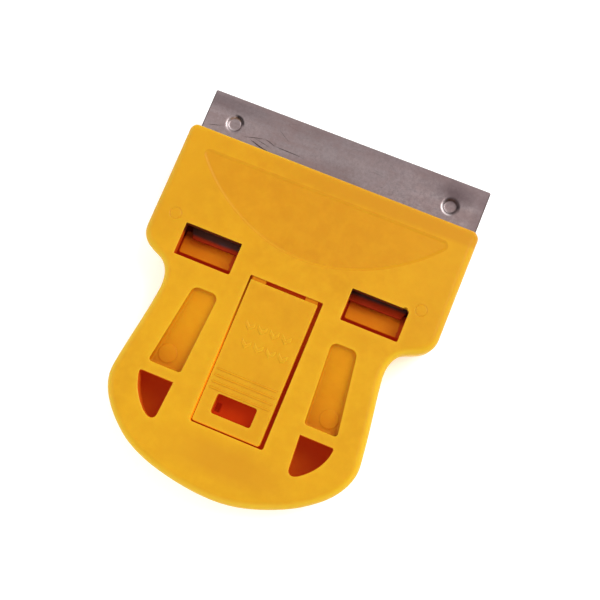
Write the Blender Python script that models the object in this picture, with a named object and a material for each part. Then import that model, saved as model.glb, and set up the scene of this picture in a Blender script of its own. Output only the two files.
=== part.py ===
"""Mini glass and paint scraper with a retracting single-edge razor blade.

Metres, +Z up.  The scraper lies on its rear face (z = 0) with its front face up, so the
front shell is above the rear shell.  +Y points out of the mouth, towards the cutting edge,
-Y towards the tail, and X = 0 is the symmetry plane.
All lengths below are in millimetres and are scaled once, by MM.  Spans are (low, high).
"""

import math

import bmesh
import bpy
from mathutils import Matrix, Vector

MM = 0.001
SHIFT_Y = 2.5               # added to every y, so that the whole tool is centred on y = 0
SIDES = (1, -1)             # right (+X), left (-X)

# ---------------------------------------------------------------- driving dimensions
BODY_T = 7.4                # body thickness
FLOOR_T = 1.4               # rear wall and front wall
CEILING_Z = BODY_T - FLOOR_T
SEAM_Z = 3.6                # parting plane of the two shells
SEAM_GAP = 0.2
FRONT_SEAM = SEAM_Z + SEAM_GAP / 2
REAR_SEAM = SEAM_Z - SEAM_GAP / 2

WALL_WIDE = 0.5             # side wall beside the blade carriage
WALL_GRIP = 1.3             # side wall of the grip
WALL_WIDE_Y, WALL_GRIP_Y = -5.0, -8.0   # the wall thickens between these
EDGE_R = 0.95               # rounding of the outer edges
CRISP_DEPTH = 1.2           # behind the mouth the rounding shrinks over this length
CRISP_SHARE = 0.35          # share of the rounding left at the mouth
WIDEST_Z = 6.0              # the outer walls taper from here towards the rear face
DRAFT_WIDE, DRAFT_GRIP = 0.045, 0.105   # taper per millimetre of height
DRAFT_Y, DRAFT_LENGTH = 2.5, 5.0        # the draft grows tailwards from here, over this length

HALF_W = 21.3               # half width of the blade end
MOUTH_Y, TAIL_Y = 17.7, -29.1
MOUTH_CORNER_R = 1.1
SLOT_Z0, SLOT_Z1 = 2.75, 5.2            # mouth slot
SLOT_HALF = 20.75
SLOT_Y = (15.0, 19.0)
LIP_DEPTH = 1.5

BLADE_W = 39.0              # standard single-edge razor blade
BLADE_EDGE_Y, BLADE_BACK_Y = 24.1, 9.4
BLADE_Z, BLADE_T = 4.1, 0.24
TRAVEL = 6.7                # blade travel into the body

POST_X, POST_Y = 11.85, -13.4           # joining posts
RIVET_X, RIVET_Y = 1.1, 5.9             # rivets between carrier and latch leaf
RIVET_HOLE_R = 0.7
RIB_HALF = 0.4
RIB_MOUTH_Y = 16.4
OUTER_RIB_X = 19.2

HINGE_Y, HINGE_Z = 0.55, 6.8            # living hinge of the release button
CATCH_Y = (-17.5, -16.3)

# heights of construction solids, which overlap the walls they join or cut
FRONT_CUT = (5.0, 9.0)      # through the front wall
BELOW_SEAM = 3.0            # start of cuts in the front shell
ABOVE_SEAM = 5.0            # end of cuts in the rear shell
REAR_ROOT = 1.0             # foot of features on the rear wall
FRONT_ROOT = 6.5            # top of features under the front wall

for scene_object in list(bpy.data.objects):
    bpy.data.objects.remove(scene_object, do_unlink=True)


# ---------------------------------------------------------------- materials
def add_material(name, colour, roughness, metallic=0.0):
    mat = bpy.data.materials.new(name)
    mat.use_nodes = True
    inputs = mat.node_tree.nodes["Principled BSDF"].inputs
    inputs["Base Color"].default_value = (*colour, 1.0)
    inputs["Roughness"].default_value = roughness
    inputs["Metallic"].default_value = metallic
    return mat


def add_yellow(name):
    return add_material(name, colour=(0.80, 0.36, 0.012), roughness=0.42)


def add_steel(name, colour, roughness):
    return add_material(name, colour, roughness, metallic=1.0)


YELLOW_FRONT = add_yellow("yellow_plastic")
YELLOW_REAR = add_yellow("yellow_plastic_rear")
YELLOW_BUTTON = add_yellow("yellow_button")
CARRIER_STEEL = add_steel("carrier_steel", colour=(0.36, 0.33, 0.33), roughness=0.38)
BLADE_STEEL = add_steel("blade_steel", colour=(0.55, 0.55, 0.56), roughness=0.25)
SPINE_STEEL = add_steel("spine_steel", colour=(0.50, 0.50, 0.52), roughness=0.35)
SPRING_STEEL = add_steel("spring_steel", colour=(0.42, 0.42, 0.44), roughness=0.35)
RIVET_STEEL = add_steel("rivet_steel", colour=(0.60, 0.60, 0.62), roughness=0.3)


# ---------------------------------------------------------------- solids
def skin(loops, name="tool", mat=None):
    """Closed solid through loops of (x, y, z) with equal point count."""
    bm = bmesh.new()
    rows = [[bm.verts.new((x * MM, (y + SHIFT_Y) * MM, z * MM)) for x, y, z in loop]
            for loop in loops]
    count = len(rows[0])
    for a, b in zip(rows, rows[1:]):
        for i in range(count):
            j = (i + 1) % count
            bm.faces.new((a[i], a[j], b[j], b[i]))
    bm.faces.new(rows[0][::-1])
    bm.faces.new(rows[-1])
    bmesh.ops.recalc_face_normals(bm, faces=bm.faces)
    mesh = bpy.data.meshes.new(name)
    bm.to_mesh(mesh)
    bm.free()
    solid = bpy.data.objects.new(name, mesh)
    bpy.context.scene.collection.objects.link(solid)
    if mat:
        mesh.materials.append(mat)
    return solid


def loft(rings, name="tool", mat=None):
    """Solid through level rings: [(outline, z), ...]."""
    return skin([[(x, y, z) for x, y in outline] for outline, z in rings], name, mat)


def prism(outline, z_span, name="tool", mat=None):
    return loft([(outline, z) for z in z_span], name, mat)


def box(x_span, y_span, z_span, name="tool", mat=None):
    (x0, x1), (y0, y1) = x_span, y_span
    return prism([(x0, y0), (x1, y0), (x1, y1), (x0, y1)], z_span, name, mat)


def side_box(side, x_span, y_span, z_span):
    """Box given for the right side, built on the given side."""
    return box(sorted(x * side for x in x_span), y_span, z_span)


def turned(x, y, stations, segments=16, name="tool", mat=None):
    """Upright round solid through stations (radius, z)."""
    return loft([(disc(x, y, radius, segments), z) for radius, z in stations], name, mat)


def extrude_x(section, half_width, name, mat):
    """Solid with a (y, z) section, from -half_width to half_width."""
    return skin([[(x, y, z) for y, z in section] for x in (-half_width, half_width)], name, mat)


def boolean(solid, tool, operation):
    """Applies the boolean to the solid's mesh and uses up the tool."""
    modifier = solid.modifiers.new(operation, "BOOLEAN")
    modifier.operation = operation
    modifier.solver = "EXACT"
    modifier.object = tool
    deps = bpy.context.evaluated_depsgraph_get()
    result = bpy.data.meshes.new_from_object(solid.evaluated_get(deps), depsgraph=deps)
    previous = solid.data
    name = previous.name
    solid.modifiers.clear()
    solid.data = result
    bpy.data.meshes.remove(previous)
    result.name = name
    bpy.data.objects.remove(tool, do_unlink=True)


def cut(solid, tool):
    boolean(solid, tool, "DIFFERENCE")


def add(solid, tool):
    boolean(solid, tool, "UNION")


def smooth(solid):
    solid.data.shade_smooth()
    solid.data.set_sharp_from_angle(angle=math.radians(35))


# ---------------------------------------------------------------- outlines
def around(middle, half):
    """Span of the given half width."""
    return (middle - half, middle + half)


def disc(x, y, radius, segments=16):
    turns = [2 * math.pi * i / segments for i in range(segments)]
    return [(x + radius * math.cos(a), y + radius * math.sin(a)) for a in turns]


def arc(x, y, radius_x, radius_y, degrees):
    """Points of an ellipse, with angles clockwise from +Y."""
    return [(x + radius_x * math.sin(math.radians(a)), y + radius_y * math.cos(math.radians(a)))
            for a in degrees]


def bezier(p0, p1, p2, p3, steps):
    """Points along a cubic curve, without its first point."""
    out = []
    for i in range(1, steps + 1):
        t = i / steps
        s = 1 - t
        out.append(tuple(s ** 3 * a + 3 * s * s * t * b + 3 * s * t * t * c + t ** 3 * d
                         for a, b, c, d in zip(p0, p1, p2, p3)))
    return out


def mirror(half):
    """Closed counter-clockwise outline from its right half, listed from mouth to tail."""
    left = [(-x, y) for x, y in reversed(half) if x > 1e-6]
    return (half + left)[::-1]


def on_side(outline, side):
    """The outline itself on the right, its mirror image on the left."""
    return outline if side > 0 else [(-x, y) for x, y in reversed(outline)]


def rounded(corners, steps=3):
    """Closed outline with each corner (x, y, radius) rounded by an arc of that many steps."""
    out = []
    for i, (x, y, radius) in enumerate(corners):
        if radius <= 0:
            out.append((x, y))
            continue
        tip = Vector((x, y))
        back = (Vector(corners[i - 1][:2]) - tip).normalized()
        ahead = (Vector(corners[(i + 1) % len(corners)][:2]) - tip).normalized()
        half_angle = back.angle(ahead) / 2
        reach = radius / math.tan(half_angle)
        centre = tip + (back + ahead).normalized() * (radius / math.sin(half_angle))
        start = tip + back * reach - centre
        end = tip + ahead * reach - centre
        turn = start.angle_signed(end)
        for j in range(steps + 1):
            c, s = math.cos(-turn * j / steps), math.sin(-turn * j / steps)
            out.append((centre.x + start.x * c - start.y * s, centre.y + start.x * s + start.y * c))
    return out


def rounded_box(x_span, y_span, radius):
    (x0, x1), (y0, y1) = x_span, y_span
    return rounded([(x0, y0, radius), (x1, y0, radius), (x1, y1, radius), (x0, y1, radius)])


def inset(ring, distance):
    """Moves each point of a counter-clockwise ring inwards by distance(x, y)."""
    out = []
    for i, corner in enumerate(ring):
        point, before, after = Vector(corner), Vector(ring[i - 1]), Vector(ring[(i + 1) % len(ring)])
        edge_in, edge_out = (point - before).normalized(), (after - point).normalized()
        normal_in = Vector((-edge_in.y, edge_in.x))
        normal_out = Vector((-edge_out.y, edge_out.x))
        mitre = (normal_in + normal_out).normalized()
        # the limit keeps sharp corners from shooting inwards
        reach = distance(point.x, point.y) / max(0.35, mitre.dot(normal_in))
        out.append((point.x + mitre.x * reach, point.y + mitre.y * reach))
    return out


def thicken(path, thickness):
    """Closed section of a strip whose middle line is the path."""
    steps = [(Vector(b) - Vector(a)).normalized() for a, b in zip(path, path[1:])]
    normals = [Vector((step.y, -step.x)) for step in steps]
    top, bottom = [], []
    for i, (y, z) in enumerate(path):
        beside = normals[max(i - 1, 0):i + 1]
        mitre = sum(beside, Vector((0, 0))).normalized()
        reach = thickness / 2 / mitre.dot(beside[0])
        top.append((y + mitre.x * reach, z + mitre.y * reach))
        bottom.append((y - mitre.x * reach, z - mitre.y * reach))
    return top + bottom[::-1]


# ---------------------------------------------------------------- body outline and cavity
SIDE_START = (HALF_W, 2.2)
# cubic curves of the right side, each from the end of the one before:
# first handle, second handle, end, steps
SIDE_CURVES = [
    ((HALF_W, -0.1), (19.6, -0.75), (18.2, -1.35), 7),
    ((16.8, -1.95), (16.1, -3.3), (16.15, -5.3), 7),
    ((16.35, -8.6), (17.35, -14.0), (17.78, -17.5), 4),
    ((18.0, -20.0), (16.6, -22.4), (13.0, -25.35), 6),
    ((9.4, -28.2), (4.0, TAIL_Y), (0.0, TAIL_Y), 6),
]


def body_outline():
    half = [(0.0, MOUTH_Y), (7.0, MOUTH_Y), (14.0, MOUTH_Y)]
    half += arc(HALF_W - MOUTH_CORNER_R, MOUTH_Y - MOUTH_CORNER_R,
                MOUTH_CORNER_R, MOUTH_CORNER_R, (0, 30, 60, 90))
    half += [(HALF_W, 9.0), SIDE_START]
    start = SIDE_START
    for handle_1, handle_2, end, steps in SIDE_CURVES:
        half += bezier(start, handle_1, handle_2, end, steps)
        start = end
    return mirror(half)


def edge_round(y):
    """The mouth edge is crisp, every other outer edge is round."""
    if y < MOUTH_Y - CRISP_DEPTH:
        return EDGE_R
    return EDGE_R * (CRISP_SHARE + (1 - CRISP_SHARE) * (MOUTH_Y - y) / CRISP_DEPTH)


def wall(x, y):
    if y > WALL_WIDE_Y:
        return WALL_WIDE
    if y < WALL_GRIP_Y:
        return WALL_GRIP
    share = (WALL_WIDE_Y - y) / (WALL_WIDE_Y - WALL_GRIP_Y)
    return WALL_WIDE + (WALL_GRIP - WALL_WIDE) * share


def low_wall(x, y):
    """Thicker side wall next to the rear wall."""
    return max(1.05, wall(x, y) + 0.45)


def taper(y, z):
    """Inset of the outer wall: little beside the blade, more around the grip and tail."""
    share = min(1.0, max(0.0, (DRAFT_Y - y) / DRAFT_LENGTH))
    return max(0.0, WIDEST_Z - z) * (DRAFT_WIDE + (DRAFT_GRIP - DRAFT_WIDE) * share)


def cavity_outline(wall_at):
    """The cavity stops behind the mouth lip."""
    return [(x, min(y, MOUTH_Y - LIP_DEPTH)) for x, y in inset(OUTLINE, wall_at)]


def shell_rings(z_seam, z_face, steps=3):
    """Rings from the seam to the outer face, with a rounded edge."""
    sign = 1 if z_face > z_seam else -1
    rings = [(inset(OUTLINE, lambda x, y: taper(y, z_seam)), z_seam)]
    for i in range(steps + 1):
        a = math.pi / 2 * i / steps
        z = z_face - sign * EDGE_R * (1 - math.sin(a))
        ring = inset(OUTLINE, lambda x, y: taper(y, z) + edge_round(y) * (1 - math.cos(a)))
        rings.append((ring, z))
    return rings


OUTLINE = body_outline()
CAVITY = cavity_outline(wall)
CAVITY_LOW = cavity_outline(low_wall)

# ---------------------------------------------------------------- front shell
# right groove and the tub of material below it: corner x, y, radius
GROOVE = rounded([(8.95, -15.05, 0.5), (8.25, -3.5, 0.8), (11.9, -3.5, 0.9), (13.65, -15.05, 0.5)])
TUB = rounded([(8.2, -15.9, 0.4), (7.6, -3.75, 0.4), (12.5, -3.75, 0.4), (14.3, -15.9, 0.4)],
              steps=2)
# right window over the carriage
WINDOW = rounded_box((8.05, 16.3), (-0.4, 4.25), 0.45)
# right D opening in the tail: x, y
D_HOLE = [
    (8.95, -16.55), (9.3, -21.2), (9.55, -21.85), (10.2, -22.0), (10.75, -21.8),
    (11.55, -21.2), (12.6, -20.0), (13.4, -18.55), (13.75, -17.3), (13.85, -16.55),
]
LABEL_DEPTH = 0.18
BUTTON_OPENING = (around(0, 5.2), (-20.3, 0.8))     # x, y spans
# boxes of the ledge at the hinge: x, y, z spans
LEDGE = [
    (around(0, 4.6), (0.15, 2.2), (5.6, 5.9)),
    (around(0, 4.5), (0.95, 2.1), (5.7, 6.4)),
]
PAD_X, PAD_Y, PAD_R = 18.0, 4.85, 0.8
FRONT_INNER_RIB_X = 6.5
FRONT_FEATURE_Z = (5.15, FRONT_ROOT)    # guide pads and ribs


def label_outline():
    """Lens shape, with its long curve towards the tail."""
    half = [(0.0, 15.0), (17.1, 15.0)]
    half += arc(17.5, 14.35, 0.7, 0.65, (20, 70, 120))
    half += bezier((17.8, 13.7), (13.6, 9.4), (6.8, 5.45), (0.0, 5.45), 9)
    return mirror(half)


def build_front_shell():
    shell = loft(shell_rings(FRONT_SEAM, BODY_T), "front_shell", YELLOW_FRONT)
    cut(shell, prism(CAVITY, (BELOW_SEAM, CEILING_Z)))
    cut(shell, box(around(0, SLOT_HALF), SLOT_Y, (BELOW_SEAM, SLOT_Z1)))
    for side in SIDES:
        add(shell, prism(on_side(TUB, side), (5.2, 6.4)))
        cut(shell, prism(on_side(GROOVE, side), (5.9, 8.0)))
    cut(shell, prism(label_outline(), (BODY_T - LABEL_DEPTH, BODY_T + 1)))
    for side in SIDES:
        cut(shell, prism(on_side(WINDOW, side), FRONT_CUT))
        cut(shell, prism(on_side(D_HOLE, side), FRONT_CUT))
    cut(shell, box(*BUTTON_OPENING, FRONT_CUT))
    # round guide pads above the carriage, joining posts and their pins
    for side in SIDES:
        add(shell, prism(disc(PAD_X * side, PAD_Y, PAD_R, 12), FRONT_FEATURE_Z))
        add(shell, prism(disc(POST_X * side, POST_Y, 1.3), (FRONT_SEAM, 5.5)))
        add(shell, prism(disc(POST_X * side, POST_Y, 0.65, 12), (2.2, 4.2)))
    # ledge that closes the view through the gap at the hinge
    for spans in LEDGE:
        add(shell, box(*spans))
    # guide ribs that bear on the carriage
    for x in (-OUTER_RIB_X, -FRONT_INNER_RIB_X, FRONT_INNER_RIB_X, OUTER_RIB_X):
        add(shell, box(around(x, RIB_HALF), (6.5, RIB_MOUTH_Y), FRONT_FEATURE_Z))
    smooth(shell)


# ---------------------------------------------------------------- rear shell
REAR_INNER_RIB_X = 6.8
LOW_WALL_Z, FULL_CAVITY_Z = 2.5, 2.6    # step between the thick and the thin side wall


def build_rear_shell():
    shell = loft(shell_rings(REAR_SEAM, 0.0)[::-1], "rear_shell", YELLOW_REAR)
    cut(shell, loft([(CAVITY_LOW, FLOOR_T), (CAVITY_LOW, LOW_WALL_Z),
                     (CAVITY, FULL_CAVITY_Z), (CAVITY, ABOVE_SEAM)]))
    cut(shell, box(around(0, SLOT_HALF), SLOT_Y, (SLOT_Z0, ABOVE_SEAM)))
    # joining posts with their sockets
    for side in SIDES:
        add(shell, prism(disc(POST_X * side, POST_Y, 1.9), (REAR_ROOT, REAR_SEAM)))
        cut(shell, prism(disc(POST_X * side, POST_Y, 1.0, 12), (1.9, ABOVE_SEAM)))
    for x in (-OUTER_RIB_X, -REAR_INNER_RIB_X, REAR_INNER_RIB_X, OUTER_RIB_X):
        add(shell, box(around(x, RIB_HALF), (2.4, RIB_MOUTH_Y), (REAR_ROOT, 2.8)))
    # raised platforms that show through the side windows
    for side in SIDES:
        add(shell, side_box(side, (8.2, 16.6), (0.6, 3.9), (REAR_ROOT, 3.35)))
    # stops for the ears of the latch leaf
    for side in SIDES:
        add(shell, side_box(side, (2.5, 3.15), (-12.7, -11.9), (REAR_ROOT, 3.45)))
    smooth(shell)


# ---------------------------------------------------------------- blade carrier (folded sheet)
PLATE_Z = (4.6, 5.0)
PLATE_HALF = 20.5
PLATE_MOUTH_Y, PLATE_TAIL_Y = 24.0, 2.9
PLATE_CHAMFER = 0.2
# right half of the plate from mouth to tail: x, y
PLATE_RIGHT = [
    (0.0, PLATE_MOUTH_Y), (PLATE_HALF - PLATE_CHAMFER, PLATE_MOUTH_Y),
    (PLATE_HALF, PLATE_MOUTH_Y - PLATE_CHAMFER), (PLATE_HALF, 9.0), (20.3, 8.1), (19.8, 7.4),
    (19.0, 6.85), (17.9, 6.3), (16.8, 5.5), (15.9, 4.4), (15.4, PLATE_TAIL_Y),
    (0.0, PLATE_TAIL_Y),
]
FOLD_Y = (9.5, 23.3)
FOLD_Z = 3.0                # underside of the folded edges
DIMPLE_X, DIMPLE_Y = 16.1, 20.2
# dimple outside and hollow: radius, z
DIMPLE_OUTSIDE = [(1.0, 3.85), (1.4, 4.3), (1.4, 4.8)]
DIMPLE_HOLLOW = [(0.7, 4.3), (1.05, 4.8), (1.05, 5.4)]


def build_carrier():
    carrier = prism(mirror(PLATE_RIGHT), PLATE_Z, "blade_carrier", CARRIER_STEEL)
    for side in SIDES:
        # folded edge: upright side, then the lip turned inwards
        add(carrier, side_box(side, (PLATE_HALF - 0.4, PLATE_HALF), FOLD_Y, (FOLD_Z, 4.8)))
        add(carrier, side_box(side, (PLATE_HALF - 2.6, PLATE_HALF - 0.2), FOLD_Y, (FOLD_Z, 3.35)))
        add(carrier, turned(DIMPLE_X * side, DIMPLE_Y, DIMPLE_OUTSIDE))
        cut(carrier, turned(DIMPLE_X * side, DIMPLE_Y, DIMPLE_HOLLOW))
        cut(carrier, prism(disc(RIVET_X * side, RIVET_Y, RIVET_HOLE_R, 12), (4.0, 5.6)))
    smooth(carrier)
    return carrier


# ---------------------------------------------------------------- razor blade and folded spine
BEVEL_Y = 23.0              # the blade thins from here to its edge
EDGE_HALF_T = 0.012
SPINE_Y = (8.2, 12.4)
# right corner notch of the blade: corner x, y, radius
NOTCH = rounded([(14.4, 18.4, 1.6), (21.0, 18.4, 0), (21.0, 22.0, 0), (14.4, 22.0, 1.6)])


def build_blade():
    upper = [(BLADE_EDGE_Y, EDGE_HALF_T), (BEVEL_Y, BLADE_T / 2), (BLADE_BACK_Y, BLADE_T / 2)]
    profile = [(y, -z) for y, z in reversed(upper)] + upper
    section = [(y, BLADE_Z + z) for y, z in profile]
    blade = extrude_x(section, BLADE_W / 2, "razor_blade", BLADE_STEEL)
    for side in SIDES:
        cut(blade, prism(on_side(NOTCH, side), (3.0, 5.0)))
    return blade


def build_spine():
    half = BLADE_W / 2
    spine = box(around(0, half), SPINE_Y, around(BLADE_Z, 0.4), "blade_spine", SPINE_STEEL)
    # groove that holds the blade
    cut(spine, box(around(0, half + 1), (BLADE_BACK_Y - 0.3, SPINE_Y[1] + 1),
                   around(BLADE_Z, 0.2)))
    return spine


# ---------------------------------------------------------------- latch leaf and its rivets
LEAF_HALF = 2.2
LEAF_T = 0.35
LEAF_Z = 3.175
# middle line of the leaf, from the carrier to the tail: y, z
LEAF_PATH = [(7.8, 4.325), (3.4, 4.325), (1.0, LEAF_Z), (-16.0, LEAF_Z)]
# rivet from bottom to top: radius, z
RIVET_STATIONS = [
    (0.75, 3.8), (0.95, 3.95), (0.95, 4.08), (0.5, 4.08),
    (0.5, 5.08), (0.95, 5.08), (0.95, 5.2), (0.7, 5.4),
]


def build_leaf():
    leaf = extrude_x(thicken(LEAF_PATH, LEAF_T), LEAF_HALF, "latch_leaf", SPRING_STEEL)
    # ears and rivet holes
    for side in SIDES:
        add(leaf, side_box(side, (1.8, 3.1), (-14.1, -13.0), around(LEAF_Z, LEAF_T / 2)))
        cut(leaf, prism(disc(RIVET_X * side, RIVET_Y, RIVET_HOLE_R, 12), (3.0, 5.6)))
    # window that meets the catch when the blade is drawn in
    cut(leaf, box(around(0, 1.3), (CATCH_Y[0] + TRAVEL - 0.5, CATCH_Y[1] + TRAVEL + 0.2),
                  (2.0, 4.0)))
    return leaf


def build_rivet(name, x):
    rivet = turned(x, RIVET_Y, RIVET_STATIONS, 12, name, RIVET_STEEL)
    smooth(rivet)
    return rivet


# ---------------------------------------------------------------- release button
FLAP_HALF = 4.85
FLAP_Y0, FLAP_Y1 = -20.0, 0.3
FLAP_CORNERS = [            # x, y, radius
    (-FLAP_HALF, FLAP_Y0, 0.35), (FLAP_HALF, FLAP_Y0, 0.35),
    (FLAP_HALF, FLAP_Y1, 0.2), (-FLAP_HALF, FLAP_Y1, 0.2),
]
FLAP_WINDOW = rounded_box((-2.85, 2.85), (-18.4, -15.6), 0.35)
RIDGES_Y = (-12.7, -13.5, -14.3, -15.1)
RIDGE_SIZE = 0.14           # half width, and height above the flap
LEG_BOTTOM_Z = 2.15
WEB_HALF = 3.8


def build_button():
    """Flap with ridges, legs and catch; its origin is on the living hinge."""
    flap = prism(rounded(FLAP_CORNERS), (CEILING_Z, BODY_T), "release_button", YELLOW_BUTTON)
    cut(flap, prism(FLAP_WINDOW, FRONT_CUT))
    for y in RIDGES_Y:
        add(flap, box(around(0, 4.4), around(y, RIDGE_SIZE), (7.2, BODY_T + RIDGE_SIZE)))
    # legs and hinge strips
    for side in SIDES:
        add(flap, side_box(side, (3.45, 4.1), (-17.8, -16.0), (LEG_BOTTOM_Z, 6.4)))
        add(flap, side_box(side, (2.9, 4.6), (0.0, HINGE_Y + 0.05), around(HINGE_Z, 0.2)))
    # web above the leaf that closes the view through the flap's window, with a hole on its left
    add(flap, box(around(0, WEB_HALF), (-18.7, -15.2), (4.1, 4.55)))
    cut(flap, box((-3.2, -2.4), (-17.9, -16.6), (3.5, 5.0)))
    # cross bar below the leaf, and the catch on it
    add(flap, box(around(0, WEB_HALF), CATCH_Y, (LEG_BOTTOM_Z, 2.6)))
    add(flap, box(around(0, 1.0), CATCH_Y, (2.3, 3.32)))
    pivot = Vector((0, (HINGE_Y + SHIFT_Y) * MM, HINGE_Z * MM))
    flap.data.transform(Matrix.Translation(-pivot))
    flap.location = pivot
    smooth(flap)


# ---------------------------------------------------------------- sliding carriage
def build_carriage():
    """The carriage slides as one piece: its parts hang from an empty on the slide axis."""
    parts = [build_carrier(), build_blade(), build_spine(), build_leaf(),
             build_rivet("leaf_rivet_right", RIVET_X), build_rivet("leaf_rivet_left", -RIVET_X)]
    rail = bpy.data.objects.new("blade_slide_axis", None)
    rail.location = (0, SHIFT_Y * MM, BLADE_Z * MM)
    bpy.context.scene.collection.objects.link(rail)
    # the parent inverse needs the rail's world matrix
    bpy.context.view_layer.update()
    for part in parts:
        part.parent = rail
        part.matrix_parent_inverse = rail.matrix_world.inverted()


build_front_shell()
build_rear_shell()
build_carriage()
build_button()
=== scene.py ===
"""A yellow moulded scraper that holds a razor blade in a sliding steel carrier.

It lies on its rear shell at z = 0 with the front shell up. The blade's mouth is towards +y,
the tail towards -y, and x runs across the tool. Drawing lengths are in millimetres.
"""

import math

import bmesh
import bpy
from mathutils import Matrix, Vector


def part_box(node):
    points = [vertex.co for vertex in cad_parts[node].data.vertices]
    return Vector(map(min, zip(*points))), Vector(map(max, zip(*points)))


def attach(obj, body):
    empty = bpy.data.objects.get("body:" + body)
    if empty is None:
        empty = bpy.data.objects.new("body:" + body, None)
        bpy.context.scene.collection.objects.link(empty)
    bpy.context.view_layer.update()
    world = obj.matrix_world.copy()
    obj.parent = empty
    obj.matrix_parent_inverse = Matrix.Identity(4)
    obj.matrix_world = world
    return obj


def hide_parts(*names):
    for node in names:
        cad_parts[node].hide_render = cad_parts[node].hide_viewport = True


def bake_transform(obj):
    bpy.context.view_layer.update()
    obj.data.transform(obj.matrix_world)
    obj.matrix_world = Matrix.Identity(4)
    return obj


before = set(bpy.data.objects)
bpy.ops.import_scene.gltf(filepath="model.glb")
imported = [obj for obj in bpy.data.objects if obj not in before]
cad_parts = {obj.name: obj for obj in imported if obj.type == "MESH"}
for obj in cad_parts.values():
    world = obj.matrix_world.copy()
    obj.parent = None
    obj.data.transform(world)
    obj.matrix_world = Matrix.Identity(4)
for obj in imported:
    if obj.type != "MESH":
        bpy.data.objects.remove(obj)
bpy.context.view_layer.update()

# ------------------------------------------------------------------ driving sizes, in mm
MM = 0.001
shell_low, shell_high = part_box("front_shell")
plate_low, plate_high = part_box("blade_carrier")
Y0 = shell_low.y / MM + 29.1    # the drawing's y origin, inside the body, in the frame
TOP = shell_high.z / MM
HALF_W = shell_high.x / MM
MOUTH_Y = shell_high.y / MM - Y0
TAIL_Y = shell_low.y / MM - Y0
PLATE_HALF = plate_high.x / MM
PLATE_FRONT = plate_high.y / MM - Y0
PLATE_REAR = plate_low.y / MM - Y0
PLATE_Z1 = plate_high.z / MM
PLATE_Z0 = PLATE_Z1 - 0.4
SEAM = 3.6             # height at which the shells meet
SEAM_GAP = 0.02        # each shell stops this far from the seam
FLOOR_T = 1.4          # thickness of the shells' broad faces
EDGE_R = 1.15          # outer edge radius of the shells
SLOT_HALF = 20.92      # half width of the carrier's slot
FLAP_TOP = TOP - 0.10
HOLE_Z = 5.05          # where cutters through the front face start
CLEAR = 0.6            # how far cutters stand above a face
HAIR = 0.004           # lifts a rounded rim just clear of its face
RIM_STEPS = 8
DIMPLE_X, DIMPLE_Y = 16.1, 20.2
RIBS_Y = (-12.56, -13.48, -14.38, -15.22)
HOLE_X, HOLE_Y = 1.1, 5.9    # rivet holes of the carrier and the leaf


def at_y(y):
    """A drawing y, in the frame's metres."""
    return (y + Y0) * MM


def x_range(start, end):
    return start * MM, end * MM


def y_range(start, end):
    return at_y(start), at_y(end)


# ------------------------------------------------------------------ outlines
def box(x0, x1, y0, y1, z0, z1):
    return prism([(x0, y0), (x1, y0), (x1, y1), (x0, y1)], z0, z1)


def mirrored_boxes(x0, x1, *rest):
    return [box(x0, x1, *rest), box(-x1, -x0, *rest)]


def disc(x, y, radius, n=48):
    angles = [2 * math.pi * i / n for i in range(n)]
    return [(x + radius * math.cos(a), y + radius * math.sin(a)) for a in angles]


def corner_arc(x, y, radius, degrees):
    """Arc points, with the angles measured from +y towards +x."""
    return [(x + radius * math.sin(math.radians(a)), y + radius * math.cos(math.radians(a)))
            for a in degrees]


def bezier(start, control_1, control_2, end, n):
    """n points of a cubic curve, without its start."""
    out = []
    for i in range(1, n + 1):
        t = i / n
        s = 1 - t
        out.append(tuple(s ** 3 * a + 3 * s * s * t * b + 3 * s * t * t * c + t ** 3 * d
                         for a, b, c, d in zip(start, control_1, control_2, end)))
    return out


def trace(points, *curves):
    """Points followed by a chain of curves (control 1, control 2, end, steps)."""
    points = list(points)
    for curve in curves:
        points += bezier(points[-1], *curve)
    return points


def mirror(half):
    """The whole counter-clockwise ring of a clockwise half on the +x side."""
    left = [(-x, y) for x, y in reversed(half) if x > 1e-6]
    return (half + left)[::-1]


def flip(ring):
    return [(-x, y) for x, y in reversed(ring)]


def both(ring):
    return ring, flip(ring)


def rounded(corners, n=6):
    """A ring of corners (x, y, radius), each arc in n steps."""
    out = []
    for i, (x, y, radius) in enumerate(corners):
        if radius <= 0:
            out.append((x, y))
            continue
        tip = Vector((x, y))
        back = (Vector(corners[i - 1][:2]) - tip).normalized()
        ahead = (Vector(corners[(i + 1) % len(corners)][:2]) - tip).normalized()
        half = back.angle(ahead) / 2
        reach = radius / math.tan(half)
        centre = tip + (back + ahead).normalized() * (radius / math.sin(half))
        start = tip + back * reach - centre
        turn = start.angle_signed(tip + ahead * reach - centre)
        for j in range(n + 1):
            cos, sin = math.cos(-turn * j / n), math.sin(-turn * j / n)
            out.append((centre.x + start.x * cos - start.y * sin,
                        centre.y + start.x * sin + start.y * cos))
    return out


def box_ring(x0, x1, y0, y1, radii, n=6):
    """A rectangle with rounded corners; radii is one number or four, from (x0, y0) round."""
    radii = radii if isinstance(radii, tuple) else (radii,) * 4
    corners = ((x0, y0), (x1, y0), (x1, y1), (x0, y1))
    return rounded([(x, y, r) for (x, y), r in zip(corners, radii)], n)


def value_at(value, x, y):
    """A number, or what a function gives at x, y."""
    return value(x, y) if callable(value) else value


def inset(ring, distance):
    """Counter-clockwise ring moved inwards by distance, a number or a function of x, y."""
    out = []
    for i, point in enumerate(ring):
        here = Vector(point)
        before = (here - Vector(ring[i - 1])).normalized()
        after = (Vector(ring[(i + 1) % len(ring)]) - here).normalized()
        normal = Vector((-before.y, before.x))
        mean = (normal + Vector((-after.y, after.x))).normalized()
        move = value_at(distance, here.x, here.y) / max(0.35, mean.dot(normal))
        out.append((here.x + mean.x * move, here.y + mean.y * move))
    return out


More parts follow.
